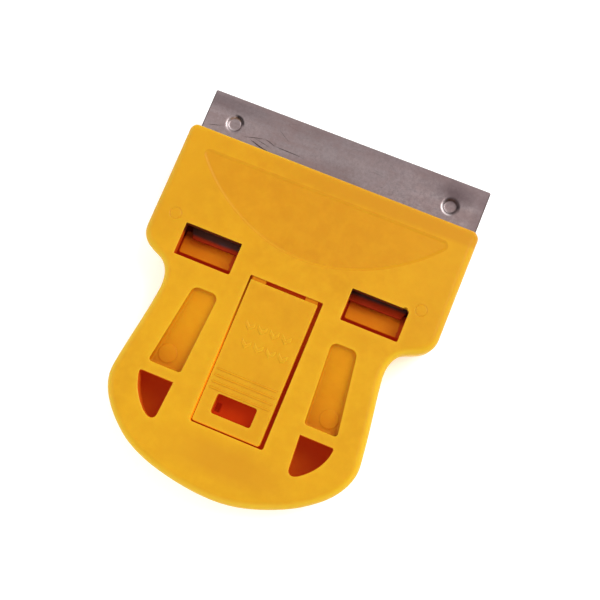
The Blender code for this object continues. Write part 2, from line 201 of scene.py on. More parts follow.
def within(ring, x, y):
    hit = False
    for (ax, ay), (bx, by) in zip(ring, ring[1:] + ring[:1]):
        if (ay > y) != (by > y) and x < ax + (y - ay) / (by - ay) * (bx - ax):
            hit = not hit
    return hit


def ease(value, start, end):
    t = min(1.0, max(0.0, (value - start) / (end - start)))
    return t * t * (3 - 2 * t)


# ------------------------------------------------------------------ bodies: rows of x, y, z points
def level(ring, z, rise=0.0):
    """One row: a ring at height z, a number or a function of x, y."""
    return [(x, y, value_at(z, x, y) + rise) for x, y in ring]


def stack(*rings):
    return [level(ring, z) for ring, z in rings]


def prism(ring, z0, z1):
    return stack((ring, z0), (ring, z1))


def rolled_top(ring, top, across, down, steps, first=1):
    """The rows of a rounded upper edge."""
    rows = []
    for i in range(first, steps + 1):
        a = math.pi / 2 * i / steps
        rows.append(level(inset(ring, across * (1 - math.cos(a))), top - down * (1 - math.sin(a))))
    return rows


def rolled_hole(ring, rim):
    """Cutter through the front face with a rounded rim that keeps ring as its mouth."""
    rows = [level(inset(ring, rim), HOLE_Z)]
    for i in range(RIM_STEPS + 1):
        a = math.pi / 2 * (1 - i / RIM_STEPS)
        hair = HAIR if i == RIM_STEPS else 0.0
        rows.append(level(
            inset(ring, lambda x, y: value_at(rim, x, y) * math.sin(a)),
            lambda x, y: TOP - value_at(rim, x, y) * (1 - math.cos(a)) + hair))
    return rows + [level(ring, TOP + CLEAR)]


def hole(ring, bottom, top, rim, foot=0.0):
    """Cutter whose rim is rounded outwards and whose foot is rounded inwards."""
    rows = [] if foot else [level(ring, bottom)]
    for i in range(RIM_STEPS + 1 if foot else 0):
        a = math.pi / 2 * i / RIM_STEPS
        rows.append(level(inset(ring, foot * (1 - math.sin(a))), bottom, foot * (1 - math.cos(a))))
    for i in range(RIM_STEPS + 1):
        a = math.pi / 2 * (1 - i / RIM_STEPS)
        hair = HAIR if i == RIM_STEPS else 0
        rows.append(level(inset(ring, -rim * (1 - math.sin(a))),
                          top - rim + rim * math.cos(a) + hair))
    return rows + [level(inset(ring, -rim), top + CLEAR)]


def scratch(points, width, depth):
    """A shallow V groove along a polyline on the carrier's plate, fading at its ends."""
    rows = []
    count = len(points)
    for i, (x, y) in enumerate(points):
        back, ahead = Vector(points[max(0, i - 1)]), Vector(points[min(count - 1, i + 1)])
        along = (ahead - back).normalized()
        side = Vector((-along.y, along.x))
        fade = math.sin(math.pi * (i + 0.35) / (count - 0.3)) ** 0.6
        w = width * fade
        rows.append([(x + side.x * w, y + side.y * w, PLATE_Z1 + 0.01),
                     (x, y, PLATE_Z1 - depth * fade),
                     (x - side.x * w, y - side.y * w, PLATE_Z1 + 0.01),
                     (x, y, PLATE_Z1 + 0.1)])
    return rows


def ring_groove(x, y, radius, width, z, up=1, depth=0.06, n=56):
    """A circular V groove in a face at z that looks up (1) or down (-1)."""
    section = [(radius - width, z + 0.01 * up), (radius, z - depth * up),
               (radius + width, z + 0.01 * up), (radius, z + 0.1 * up)]
    rows = []
    for i in range(n):
        cos, sin = math.cos(2 * math.pi * i / n), math.sin(2 * math.pi * i / n)
        rows.append([(x + r * cos, y + r * sin, height) for r, height in section])
    return rows


# ------------------------------------------------------------------ objects
def mesh_object(name, bm):
    mesh = bpy.data.meshes.new(name)
    bm.to_mesh(mesh)
    bm.free()
    ob = bpy.data.objects.new(name, mesh)
    bpy.context.scene.collection.objects.link(ob)
    return ob


def solid(name, *bodies, closed=False):
    """One object of bodies skinned over their rows; closed joins the last row to the first."""
    bm = bmesh.new()
    for rows in bodies:
        loops = [[bm.verts.new((x * MM, at_y(y), z * MM)) for x, y, z in row] for row in rows]
        n = len(loops[0])
        faces = []
        for one, other in zip(loops, loops[1:] + loops[:1] if closed else loops[1:]):
            for i in range(n):
                j = (i + 1) % n
                faces.append(bm.faces.new((one[i], one[j], other[j], other[i])))
        if not closed:
            faces.append(bm.faces.new(loops[0][::-1]))
            faces.append(bm.faces.new(loops[-1]))
        bmesh.ops.recalc_face_normals(bm, faces=faces)
    return mesh_object(name, bm)


def boolean(ob, other, operation):
    modifier = ob.modifiers.new(operation, "BOOLEAN")
    modifier.operation = operation
    modifier.solver = "EXACT"
    modifier.object = other
    deps = bpy.context.evaluated_depsgraph_get()
    deps.update()
    mesh = bpy.data.meshes.new_from_object(ob.evaluated_get(deps), depsgraph=deps)
    old = ob.data
    ob.modifiers.clear()
    ob.data = mesh
    bpy.data.meshes.remove(old)
    bpy.data.objects.remove(other, do_unlink=True)


def cut(ob, *bodies, closed=False):
    boolean(ob, solid("cutter", *bodies, closed=closed), "DIFFERENCE")


def add(ob, *bodies):
    boolean(ob, solid("adder", *bodies), "UNION")


def shade(ob, angle):
    ob.data.shade_smooth()
    ob.data.set_sharp_from_angle(angle=math.radians(angle))


def finish_mesh(ob, angle=14, weld=0.000002):
    """Cleans a mesh, shades it smooth and gives its flat faces true normals."""
    bm = bmesh.new()
    bm.from_mesh(ob.data)
    bmesh.ops.remove_doubles(bm, verts=bm.verts, dist=weld)
    bmesh.ops.dissolve_degenerate(bm, edges=bm.edges, dist=weld)
    bm.to_mesh(ob.data)
    bm.free()
    shade(ob, angle)
    normals = ob.modifiers.new("true_normals", "WEIGHTED_NORMAL")
    normals.mode = "FACE_AREA"
    normals.weight = 60
    normals.keep_sharp = True


def paint(ob, *materials):
    ob.data.materials.clear()
    for material in materials:
        ob.data.materials.append(material)


def faces_of(ob):
    """Each face with its centre in drawing millimetres."""
    for face in ob.data.polygons:
        centre = face.center
        yield face, centre.x / MM, centre.y / MM - Y0, centre.z / MM


# ------------------------------------------------------------------ shader graphs
class Graph:
    """The node tree of a material or a world."""

    def __init__(self, owner, shader="Principled BSDF"):
        owner.use_nodes = True
        self.owner = owner
        self.tree = owner.node_tree
        self.shader = self.tree.nodes[shader]
        self.coords = self.add("TexCoord", {})
        self.place = self.coords.outputs["Object"]

    def feed(self, node, inputs):
        """Links or sets inputs by name or index, leaving those that are None."""
        for key, value in inputs.items():
            socket = node.inputs[key]
            if isinstance(value, bpy.types.NodeSocket):
                self.tree.links.new(value, socket)
            elif value is not None:
                socket.default_value = (*value, 1.0) if socket.type == "RGBA" else value

    def add(self, kind, inputs, **properties):
        node = self.tree.nodes.new("ShaderNode" + kind)
        for key, value in properties.items():
            setattr(node, key, value)
        self.feed(node, inputs)
        return node

    def axes(self, vector):
        return self.add("SeparateXYZ", {0: vector}).outputs

    def mapped(self, scale, turn=0.0):
        """Object coordinates scaled, and turned about z."""
        inputs = {"Vector": self.place, "Scale": scale, "Rotation": (0, 0, turn)}
        return self.add("Mapping", inputs).outputs["Vector"]

    def noise(self, scale, detail=3, roughness=0.6, distortion=0.0, vector=None):
        inputs = {"Vector": vector or self.place, "Scale": scale, "Detail": detail,
                  "Roughness": roughness, "Distortion": distortion}
        return self.add("TexNoise", inputs).outputs["Fac"]

    def span(self, value, over=(0.3, 0.7), to=(0.0, 1.0)):
        """Value mapped from one range to another and clamped; over suits a noise."""
        inputs = {"Value": value, "From Min": over[0], "From Max": over[1],
                  "To Min": to[0], "To Max": to[1]}
        return self.add("MapRange", inputs).outputs["Result"]

    def math(self, operation, first, second=None):
        return self.add("Math", {0: first, 1: second}, operation=operation).outputs[0]

    def fold(self, operation, first, *others):
        for other in others:
            first = self.math(operation, first, other)
        return first

    def times(self, *values):
        return self.fold("MULTIPLY", *values)

    def plus(self, *values):
        return self.fold("ADD", *values)

    def largest(self, *values):
        return self.fold("MAXIMUM", *values)

    def vector(self, operation, first, second=None, output="Vector"):
        node = self.add("VectorMath", {0: first, 1: second}, operation=operation)
        return node.outputs[output]

    def mix(self, share, under, over, mode="MIX"):
        # inputs 6 and 7 and output 2 are the mix node's colour sockets
        inputs = {0: share, 6: under, 7: over}
        return self.add("Mix", inputs, data_type="RGBA", blend_type=mode).outputs[2]

    def bump(self, height, strength, distance, under=None):
        inputs = {"Strength": strength, "Distance": distance, "Height": height, "Normal": under}
        return self.add("Bump", inputs).outputs["Normal"]

    def edge(self, radius, samples=4):
        """0 on flats, up to 1 on edges."""
        bevel = self.add("Bevel", {"Radius": radius}, samples=samples).outputs["Normal"]
        normal = self.add("NewGeometry", {}).outputs["Normal"]
        dot = self.vector("DOT_PRODUCT", bevel, normal, output="Value")
        return self.span(dot, over=(0.995, 0.85))


def scaled(colour, factors):
    return tuple(c * f for c, f in zip(colour, factors))


# ------------------------------------------------------------------ plastic
YELLOW = (0.602, 0.283, 0.0040)
YELLOW_DARK = (0.548, 0.242, 0.0034)
YELLOW_PALE = (0.672, 0.345, 0.0080)
YELLOW_OUTER = (0.690, 0.385, 0.0070)     # towards the sides and the tail
YELLOW_PATCH = (0.535, 0.225, 0.0050)     # darker patches at the head, mouth and tail
# painted highlight colour along the edges
YELLOW_EDGE_SHEEN = (0.700, 0.400, 0.0110)
YELLOW_RUBBED = (0.78, 0.46, 0.030)
SPECK = (0.32, 0.11, 0.01)
# painted shadow: the red of the shadow bands on the window floors
RED_SHADOW_BAND = (0.42, 0.036, 0.003)
GLOW_A, GLOW_B = (1.0, 0.050, 0.012), (0.86, 0.028, 0.008)
WALL_GLOW = (1.0, 0.44, 0.012)


def plastic_skin(net, flow, stipple, tone):
    """Mottled yellow with tiny dark specks."""
    flow_share = 0.55 if stipple > 0.2 else 1.0
    colour = net.mix(net.span(flow, over=(0.36, 0.68), to=(0.0, flow_share)),
                     scaled(YELLOW, tone), scaled(YELLOW_DARK, tone))
    colour = net.mix(net.span(net.noise(scale=620), over=(0.40, 0.70), to=(0.0, 0.40)),
                     colour, scaled(YELLOW_PALE, tone))
    cells = net.add("TexVoronoi", {"Vector": net.place, "Scale": 230}).outputs["Distance"]
    chosen = net.math("GREATER_THAN", net.noise(scale=230, detail=0, roughness=0.5), 0.66)
    speck = net.times(net.span(cells, over=(0.020, 0.040), to=(1.0, 0.0)), chosen)
    return net.mix(net.times(speck, 0.7), colour, SPECK)


def plastic_zones(net, colour, place, tone):
    """Faint changes of tone along the tool."""
    x, y = place["X"], place["Y"]
    outer_x = net.span(net.math("ABSOLUTE", x), over=(0.011, 0.021))
    outer_y = net.span(y, over=(0.006, -0.004), to=(0.0, 0.8))
    colour = net.mix(net.times(net.largest(outer_x, outer_y), 0.30),
                     colour, scaled(YELLOW_OUTER, tone))
    head = net.times(outer_x, net.span(y, over=(0.001, 0.006), to=(0.0, 0.40)))
    mouth = net.times(net.span(x, over=(-0.008, 0.004), to=(0.30, 0.85)),
                      net.span(y, over=y_range(14.7, 15.6)))
    from_middle = net.math("ABSOLUTE", net.math("SUBTRACT", x, 0.0010))
    tail = net.times(net.span(y, over=y_range(-20.5, -22.6)),
                     net.span(y, over=y_range(-26.6, -24.9)),
                     net.span(from_middle, over=(0.0025, 0.0100), to=(0.62, 0.0)))
    return net.mix(net.largest(head, mouth, tail), colour, scaled(YELLOW_PATCH, tone))


def plastic_sheen_and_wear(net, colour, sheen_and_wear, tone):
    """Paler towards the edges as a painted highlight, and paler still where it is rubbed."""
    # painted highlight: a paler band along every edge
    near = net.times(net.edge(radius=0.0013, samples=6),
                     net.span(net.noise(scale=260), to=(0.25 * sheen_and_wear, 0.60 * sheen_and_wear)))
    colour = net.mix(near, colour, scaled(YELLOW_EDGE_SHEEN, tone))
    rubbed = net.times(net.edge(radius=0.00025),
                       net.span(net.noise(scale=500), over=(0.35, 0.7),
                                to=(0.05 * sheen_and_wear, 0.35 * sheen_and_wear)))
    return net.mix(rubbed, colour, scaled(YELLOW_RUBBED, tone))


def plastic_relief(net, stipple):
    waves = net.bump(net.noise(scale=150, detail=2, roughness=0.5),
                     strength=0.20, distance=0.00025)
    relief = net.bump(net.noise(scale=5200), strength=0.18 + stipple * 0.5,
                      distance=0.00003, under=waves)
    scuffs = net.noise(scale=900, detail=5, roughness=0.7,
                       vector=net.mapped((0.25, 3.0, 1.0), turn=0.5))
    relief = net.bump(net.span(scuffs, over=(0.62, 0.66)), strength=0.06,
                      distance=0.00002, under=relief)
    if stipple:
        relief = net.bump(net.noise(scale=2300, detail=2, roughness=0.55), strength=stipple,
                          distance=0.00005, under=relief)
    return relief


def plastic(name, stipple=0.0, tone=(1.0, 1.0, 1.0), glow=0.0, scatter=0.22, fade=None,
            wall=(0.690, 0.425, 0.0130), gloss=0.17, sheen_and_wear=1.0, wall_glow=0.0, bands=()):
    """Satin moulded plastic. glow is painted light, an emission for warm light coming through
    thin inner walls; wall is the painted light and shade colour of steep faces and wall_glow
    painted light on them. fade turns it to another colour between two y places, as painted
    shade, and bands (x0, x1) turn red as painted shadow; bands need a fade."""
    net = Graph(bpy.data.materials.new(name))
    flow = net.noise(scale=95, detail=4, distortion=0.6)
    colour = plastic_skin(net, flow, stipple, tone)
    normal = net.add("NewGeometry", {}).outputs["Normal"]
    steep = net.span(net.axes(normal)["Z"], over=(0.985, 0.80))
    # painted light and shade: steep faces lean towards the wall colour
    colour = net.mix(net.times(steep, 0.85), colour, wall)
    place = net.axes(net.place)
    colour = plastic_zones(net, colour, place, tone)
    # painted edge highlight, and rubbed wear
    if sheen_and_wear:
        colour = plastic_sheen_and_wear(net, colour, sheen_and_wear, tone)
    if fade:
        wobble = net.span(net.noise(scale=420), to=(-0.00025, 0.00025))
        faded = net.span(net.plus(net.axes(net.place)["Y"], wobble),
                         over=y_range(fade["start"], fade["end"]), to=(0.0, fade["share"]))
        colour = net.mix(faded, colour, fade["colour"])
    # painted shadow: red bands along the windows' right walls on the floor
    for x0, x1 in bands:
        band = net.times(net.span(net.plus(place["X"], wobble),
                                  over=x_range(x0, x0 + 0.22), to=(0.0, 0.80)),
                         net.span(place["X"], over=x_range(x1 + 0.10, x1)))
        colour = net.mix(band, colour, RED_SHADOW_BAND)
    net.feed(net.shader, {
        "Base Color": colour,
        "Roughness": net.span(net.noise(scale=900, detail=4, roughness=0.65),
                              over=(0.3, 0.75), to=(0.40, 0.56)),
        "Specular IOR Level": gloss,
        "Subsurface Weight": scatter,
        "Subsurface Radius": (1.0, 0.34, 0.04),
        "Subsurface Scale": 0.0009,
        "Normal": plastic_relief(net, stipple)})
    # painted light: an emission glow for light coming through thin walls
    if glow:
        strength = net.times(net.math("SUBTRACT", 1.0, faded), glow) if fade else glow
        net.feed(net.shader, {"Emission Color": net.mix(net.span(flow), GLOW_A, GLOW_B),
                              "Emission Strength": strength})
    # painted light: a glow on steep faces
    if wall_glow:
        strength = net.times(steep, wall_glow)
        if fade:
            strength = net.times(strength, net.math("SUBTRACT", 1.0, faded))
        net.feed(net.shader, {"Emission Color": WALL_GLOW, "Emission Strength": strength})
    return net.owner


# ------------------------------------------------------------------ steel
# painted shade along the carrier's rim and towards its front corners
RIM_SHADE = (0.150, 0.108, 0.112)


def contour(net, field, middle, width):
    """Thin lines where a slow field crosses its middle value."""
    away = net.math("ABSOLUTE", net.math("SUBTRACT", field, middle))
    return net.span(away, over=(0.0008, width), to=(1.0, 0.0))


def hairlines(net, share):
    """Curved hairline scratches, in patches."""
    broad = net.noise(scale=75, detail=2, roughness=0.45, distortion=0.4,
                      vector=net.mapped((1.0, 2.4, 1.0), turn=0.3))
    narrow = net.noise(scale=120, detail=1, roughness=0.4,
                       vector=net.mapped((1.6, 1.0, 1.0), turn=-0.8))
    lines = net.largest(contour(net, broad, middle=0.5, width=0.0022),
                        contour(net, narrow, middle=0.47, width=0.0020))
    patches = net.span(net.noise(scale=190, detail=2, roughness=0.5), over=(0.54, 0.60))
    return net.times(lines, patches, share)


def carrier_shade(net, colour, x, inside):
    """Painted shade: darker towards +x, and dark brown with grey-blue streaks on the end that stays
    inside the body.
    """
    # painted shade: the plate darkens towards +x
    shade_ramp = net.add("ValToRGB", {"Fac": net.span(x, over=(-0.020, 0.020))})
    shade_ramp.color_ramp.elements.new(0.5)
    for element, grey in zip(shade_ramp.color_ramp.elements, (0.95, 0.72, 0.62)):
        element.color = (grey, grey, grey, 1.0)
    colour = net.mix(1.0, colour, shade_ramp.outputs["Color"], mode="MULTIPLY")
    # painted shade: the end inside the body is dark brown
    inside_shade = net.mix(net.span(net.noise(scale=330), over=(0.46, 0.64)),
                    (0.085, 0.020, 0.010), (0.088, 0.056, 0.068))
    return net.mix(net.times(inside, 0.94), colour, inside_shade)


def carrier_rim(net, colour, x, y, smudge):
    """Painted shade: a darker strip along the rim and darker front corners; painted reflection: a
    red rear lip.
    """
    from_middle = net.math("ABSOLUTE", x)
    wobble = net.span(net.noise(scale=300), to=(-0.00006, 0.00006))
    # painted shade: a darker strip along the front, the right end and both sides
    front = net.times(net.span(net.plus(y, wobble), to=(0.0, 0.75),
                               over=y_range(PLATE_FRONT - 1.15, PLATE_FRONT - 0.35)),
                      net.span(x, over=(-0.006, 0.010), to=(0.35, 1.0)))
    right = net.span(net.plus(x, wobble), over=x_range(PLATE_HALF - 1.5, PLATE_HALF - 0.3))
    sides = net.span(net.plus(from_middle, wobble), to=(0.0, 0.6),
                     over=x_range(PLATE_HALF - 0.30, PLATE_HALF - 0.15))
    colour = net.mix(net.times(net.largest(front, right, sides), 0.50), colour, RIM_SHADE)
    ragged_y = net.plus(y, net.span(smudge, to=(-0.0004, 0.0004)))
    # painted shade: darker towards the outer front corners
    corner_shade = net.times(net.span(from_middle, over=(0.0095, 0.0160), to=(0.14, 0.58)),
                     net.span(ragged_y, over=y_range(PLATE_FRONT - 3.0, PLATE_FRONT - 1.9)),
                     net.span(y, over=y_range(PLATE_FRONT - 0.9, PLATE_FRONT - 0.3),
                              to=(1.0, 0.2)))
    colour = net.mix(corner_shade, colour, RIM_SHADE)
    # painted reflection: the lip's red edge leans along x and steps near the middle
    lean = net.plus(net.times(x, -0.0085),
                    net.span(x, over=(-0.005, 0.005), to=(0.42 * MM, 0.0)))
    lip = net.span(net.plus(y, lean, wobble), over=y_range(3.62, 4.02), to=(0.90, 0.0))
    return net.mix(lip, colour, (0.43, 0.032, 0.006))


def dimple_shading(net, colour, x, dark_arc):
    """Painted shade: a dark crescent ahead of a dimple; painted highlight: a bright one behind it.
    """
    offset = net.vector("SUBTRACT", net.place, (x * MM, at_y(DIMPLE_Y), 0.0))
    flat = net.vector("MULTIPLY", offset, (1.0, 1.0, 0.0))
    radius = net.vector("LENGTH", flat, output="Value")
    direction = net.vector("NORMALIZE", flat)
    ring = net.times(net.span(radius, over=x_range(0.74, 0.92)),
                     net.span(radius, over=x_range(1.38, 1.18)))
    bright_arc = ((-0.67, -0.74, 0.0), (0.15, 0.75))
    # direction and spread of the arc, its colour and share
    for (middle, spread), tint, share in ((dark_arc, (0.030, 0.022, 0.022), 0.96),
                                          (bright_arc, (0.72, 0.65, 0.66), 0.50)):
        facing = net.vector("DOT_PRODUCT", direction, middle, output="Value")
        arc = net.times(ring, net.span(facing, over=spread, to=(0.0, share)))
        colour = net.mix(arc, colour, tint)
    if x > 0:
        # a painted soft shadow ahead of the right dimple
        oval = net.vector("MULTIPLY", flat, (0.42 / MM, 0.62 / MM, 0.0))
        away = net.vector("DISTANCE", oval, (0.0, 1.15, 0.0), output="Value")
        ragged = net.span(net.noise(scale=420, detail=4, roughness=0.65), to=(-0.22, 0.22))
        dimple_shadow = net.span(net.plus(away, ragged), over=(0.25, 1.30), to=(0.88, 0.0))
        colour = net.mix(dimple_shadow, colour, (0.105, 0.074, 0.078))
    return colour


def metal(name, light, dark, roughness, grain=(60.0, 900.0, 900.0), scratches=1.0, carrier=False):
    """Worn steel; grain scales the brushing, carrier adds the blade carrier's painted shade,
    highlights and red reflection, and a rougher inner end.
    """
    net = Graph(bpy.data.materials.new(name))
    smudge = net.noise(scale=130, detail=4, distortion=0.8)
    brushed = net.noise(scale=14.0, detail=5, roughness=0.7, vector=net.mapped(grain))
    mottle = net.noise(scale=2300, detail=4, roughness=0.7)
    warm = net.noise(scale=210, distortion=0.5)
    streaks = net.noise(scale=1.0, detail=4, distortion=0.6,
                        vector=net.mapped((70.0, 420.0, 420.0), turn=0.12))
    blots = net.noise(scale=460, detail=4, roughness=0.7, distortion=0.4)
    colour = net.mix(net.span(smudge, over=(0.32, 0.7)), light, dark)
    # pattern, range it shows over, largest share, colour
    for pattern, over, share, tint in (
            (warm, (0.45, 0.75), 0.35, scaled(light, (1.04, 0.90, 0.84))),
            (mottle, (0.36, 0.66), 0.72, scaled(dark, (0.66, 0.66, 0.66))),
            (streaks, (0.44, 0.62), 0.55, scaled(dark, (0.80, 0.68, 0.64))),
            (blots, (0.50, 0.68), 0.40, scaled(dark, (0.84, 0.70, 0.66)))):
        colour = net.mix(net.span(pattern, over=over, to=(0.0, share)), colour, tint)
    hair = hairlines(net, scratches)
    colour = net.mix(net.times(hair, 0.45), colour, (0.13, 0.11, 0.11))
    colour = net.mix(net.times(net.edge(radius=0.00010), 0.25), colour, (0.60, 0.57, 0.57))
    dullness = net.plus(net.span(smudge, to=(roughness - 0.05, roughness + 0.08)),
                        net.span(mottle, to=(-0.06, 0.06)))
    if carrier:
        place = net.axes(net.place)
        x, y = place["X"], place["Y"]
        inside = net.span(y, over=(at_y(9.0), at_y(9.0) + 0.002), to=(1.0, 0.0))
        colour = carrier_shade(net, colour, x, inside)
        dullness = net.plus(dullness, net.times(inside, 0.15))
        colour = carrier_rim(net, colour, x, y, smudge)
        for centre, dark_arc in ((-DIMPLE_X, ((0.62, 0.785, 0.0), (0.45, 0.80))),
                                 (DIMPLE_X, ((0.40, 0.915, 0.0), (0.10, 0.62)))):
            colour = dimple_shading(net, colour, centre, dark_arc)
    relief = net.bump(brushed, strength=0.07, distance=0.00002)
    relief = net.bump(mottle, strength=0.16, distance=0.00002, under=relief)
    relief = net.bump(net.noise(scale=160, detail=2, roughness=0.5),
                      strength=0.10, distance=0.00015, under=relief)
    relief = net.bump(hair, strength=0.3, distance=0.00001, under=relief)
    net.feed(net.shader, {"Base Color": colour, "Metallic": 1.0, "Roughness": dullness,
                          "Normal": relief})
    return net.owner


PLASTIC = plastic("yellow_moulded_plastic")
PLASTIC_STIPPLE = plastic(
    "yellow_stippled_recess", stipple=0.30, tone=(0.94, 0.86, 0.80),
    wall=(0.620, 0.300, 0.0050), sheen_and_wear=0.35)
# painted shade: the recessed groove is a deeper orange and darkens towards its deeper tail end
PLASTIC_GROOVE = plastic(
    "yellow_finger_groove", tone=(0.97, 0.80, 0.9), stipple=0.10, scatter=0.42,
    wall=(0.570, 0.175, 0.0030), gloss=0.08, sheen_and_wear=0.0,
    fade=dict(start=-8.5, end=-15.5, colour=(0.540, 0.165, 0.0030), share=0.80))
# painted shade: the flap's shaded sides are a dark red, with a painted glow for light through the
# wall
PLASTIC_INNER = plastic(
    "yellow_inner_wall", tone=(0.95, 0.45, 0.20), glow=0.150,
    wall=(0.50, 0.085, 0.0020), gloss=0.06, sheen_and_wear=0.0)
# painted light and shadow: the window floors glow orange, with a painted shadow of the carrier
# towards +y and red painted shadow bands along the right walls
PLASTIC_FLOOR = plastic(
    "yellow_window_floor", tone=(1.30, 1.00, 0.6), glow=0.120,
    wall=(0.55, 0.10, 0.0020), gloss=0.08, sheen_and_wear=0.0,
    fade=dict(start=2.65, end=3.35, colour=(0.26, 0.040, 0.004), share=0.90),
    bands=((-9.42, -8.1), (15.62, 16.75)))
# painted shade: opening walls and the hollow are a shaded dark red with a painted glow, turning near
# black in the carrier's shadow
PLASTIC_LINER = plastic(
    "yellow_opening_wall", tone=(0.90, 0.40, 0.20), glow=0.125,
    wall=(0.37, 0.044, 0.0016), gloss=0.06, sheen_and_wear=0.0,
    fade=dict(start=2.7, end=3.4, colour=(0.095, 0.021, 0.006), share=0.95))
# painted shade: the flap's lower parts, seen through its window, are a shaded deep red with a
# painted glow
PLASTIC_WEB = plastic(
    "yellow_button_web", tone=(0.80, 0.135, 0.04), glow=0.130,
    wall=(0.40, 0.050, 0.0010), gloss=0.04, sheen_and_wear=0.0)
# painted light and shade: the lit left and tail walls of the flap's gap glow orange and turn a
# shaded dark red towards the hinge
PLASTIC_GAP = plastic(
    "yellow_gap_wall", tone=(0.95, 0.55, 0.30), wall=(0.62, 0.16, 0.0030),
    gloss=0.05, sheen_and_wear=0.0, wall_glow=0.52,
    fade=dict(start=-11.0, end=0.5, colour=(0.34, 0.030, 0.002), share=0.92))
PLASTIC_BUTTON = plastic("yellow_button_plastic", tone=(0.965, 0.92, 0.90))
# painted shade: the recessed hinge webs are a shaded darker orange
PLASTIC_HINGE = plastic(
    "yellow_hinge_web_plastic", tone=(0.87, 0.54, 0.5), wall=(0.560, 0.150, 0.0030),
    gloss=0.06, sheen_and_wear=0.0, wall_glow=0.02)
# painted shade: the sides of the grip ribs are a darker orange
PLASTIC_RIB = plastic(
    "yellow_grip_rib_plastic", tone=(0.965, 0.90, 0.90), wall=(0.520, 0.180, 0.0030),
    gloss=0.12, sheen_and_wear=0.0)
STEEL = metal("rolled_carrier_steel", light=(0.480, 0.388, 0.392), dark=(0.392, 0.312, 0.318),
              roughness=0.42, carrier=True)
SCRATCHED = metal("scratched_carrier_steel", light=(0.110, 0.082, 0.082),
                  dark=(0.075, 0.055, 0.055), roughness=0.55, scratches=0.0)
BLADE = metal("ground_blade_steel", light=(0.56, 0.56, 0.57), dark=(0.46, 0.46, 0.47),
              roughness=0.30, grain=(900.0, 40.0, 900.0), scratches=0.5)
SPINE = metal("folded_spine_steel", light=(0.50, 0.50, 0.52), dark=(0.42, 0.42, 0.44),
              roughness=0.38)
SPRING = metal("spring_leaf_steel", light=(0.17, 0.115, 0.10), dark=(0.12, 0.080, 0.070),
               roughness=0.42, grain=(900.0, 40.0, 900.0))
RIVET = metal("headed_rivet_steel", light=(0.60, 0.60, 0.62), dark=(0.50, 0.50, 0.52),
              roughness=0.33, grain=(500.0, 500.0, 500.0))

# ------------------------------------------------------------------ body outline
half = [(x, MOUTH_Y) for x in (0.0, 4.0, 8.0, 12.0, 16.0)]
half += corner_arc(HALF_W - 1.1, MOUTH_Y - 1.1, 1.1, range(0, 91, 10))
half += [(HALF_W, y) for y in (13.0, 9.0, 5.0, 2.2)]
half = trace(
    half,
    ((HALF_W, -0.1), (19.6, -0.75), (18.2, -1.35), 16),
    ((16.8, -1.95), (16.1, -3.3), (16.15, -5.3), 16),
    ((16.35, -8.6), (17.35, -14.0), (17.78, -17.5), 14),
    ((18.0, -20.0), (16.6, -22.4), (13.0, -25.35), 18),
    ((9.4, -28.2), (4.0, TAIL_Y), (0.0, TAIL_Y), 18))

# How far the moulding stands outside the nominal outline, in mm, every 10 degrees from -150
# to 150 about the grip's middle; 0 degrees points to the tail.
FULLNESS = list(zip(range(-150, 151, 10), (
    0.0, 0.0, 0.08, 0.14, 0.15, 0.19, 0.24, 0.24, 0.13, 0.12, 0.07, -0.13, -0.26, -0.33, -0.28,
    -0.19, -0.10, -0.15, -0.35, -0.42, -0.22, 0.09, 0.04, 0.16, 0.22, 0.24, 0.18, 0.10, 0.06,
    0.0, 0.0)))
GRIP_Y = -14.0


def moulded(x, y):
    """A nominal outline point moved outwards by the smoothed fullness."""
    angle = math.degrees(math.atan2(x, GRIP_Y - y))
    near = [(math.exp(-((angle - station) / 6.0) ** 2 / 2), fullness)
            for station, fullness in FULLNESS if abs(angle - station) < 36]
    move = 0.0
    if abs(angle) < 150:
        move = sum(w * v for w, v in near) / sum(w for w, v in near)
    radius = math.hypot(x, y - GRIP_Y)
    return x * (1 + move / radius), (y - GRIP_Y) * (1 + move / radius) + GRIP_Y


OUTLINE = [moulded(x, y) for x, y in mirror(half)]


def edge_share(x, y):
    """The mouth edge is crisp, every other outer edge is round."""
    if y < MOUTH_Y - 1.2:
        return 1.0
    return 0.30 + 0.70 * max(0.0, (MOUTH_Y - y) / 1.2)


def wall(x, y):
    """Wall thickness: thin beside the blade, thick around the grip."""
    if y > -5.0:
        return 0.5
    if y < -8.0:
        return 1.3
    return 0.5 + 0.8 * (-5.0 - y) / 3.0


def cavity(thickness):
    return [(x, min(y, MOUTH_Y - 1.5)) for x, y in inset(OUTLINE, thickness)]


CAVITY = cavity(wall)
CAVITY_LOW = cavity(lambda x, y: max(1.05, wall(x, y) + 0.45))


def taper(z):
    """Inset of the outer wall at height z: little beside the blade, more around the grip."""
    def inwards(x, y):
        t = min(1.0, max(0.0, (2.5 - y) / 5.0))
        t = t * t * (3 - 2 * t)
        return max(0.0, 6.0 - z) * (0.045 + 0.06 * t)
    return inwards


def shell_rows(z_seam, z_face, steps=9):
    """A solid shell from its eased seam to its rounded broad face."""
    up = 1 if z_face > z_seam else -1
    rows = []
    for ease_in, rise in ((0.10, 0.0), (0.03, 0.05), (0.0, 0.14)):
        z = z_seam + up * rise
        rows.append(level(inset(OUTLINE, lambda x, y: taper(z)(x, y) + ease_in), z))
    for i in range(steps + 1):
        a = math.pi / 2 * i / steps
        z = z_face - up * EDGE_R * (1 - math.sin(a))
        rows.append(level(inset(OUTLINE, lambda x, y: taper(z)(x, y)
                                + EDGE_R * edge_share(x, y) * (1 - math.cos(a))), z))
    return rows


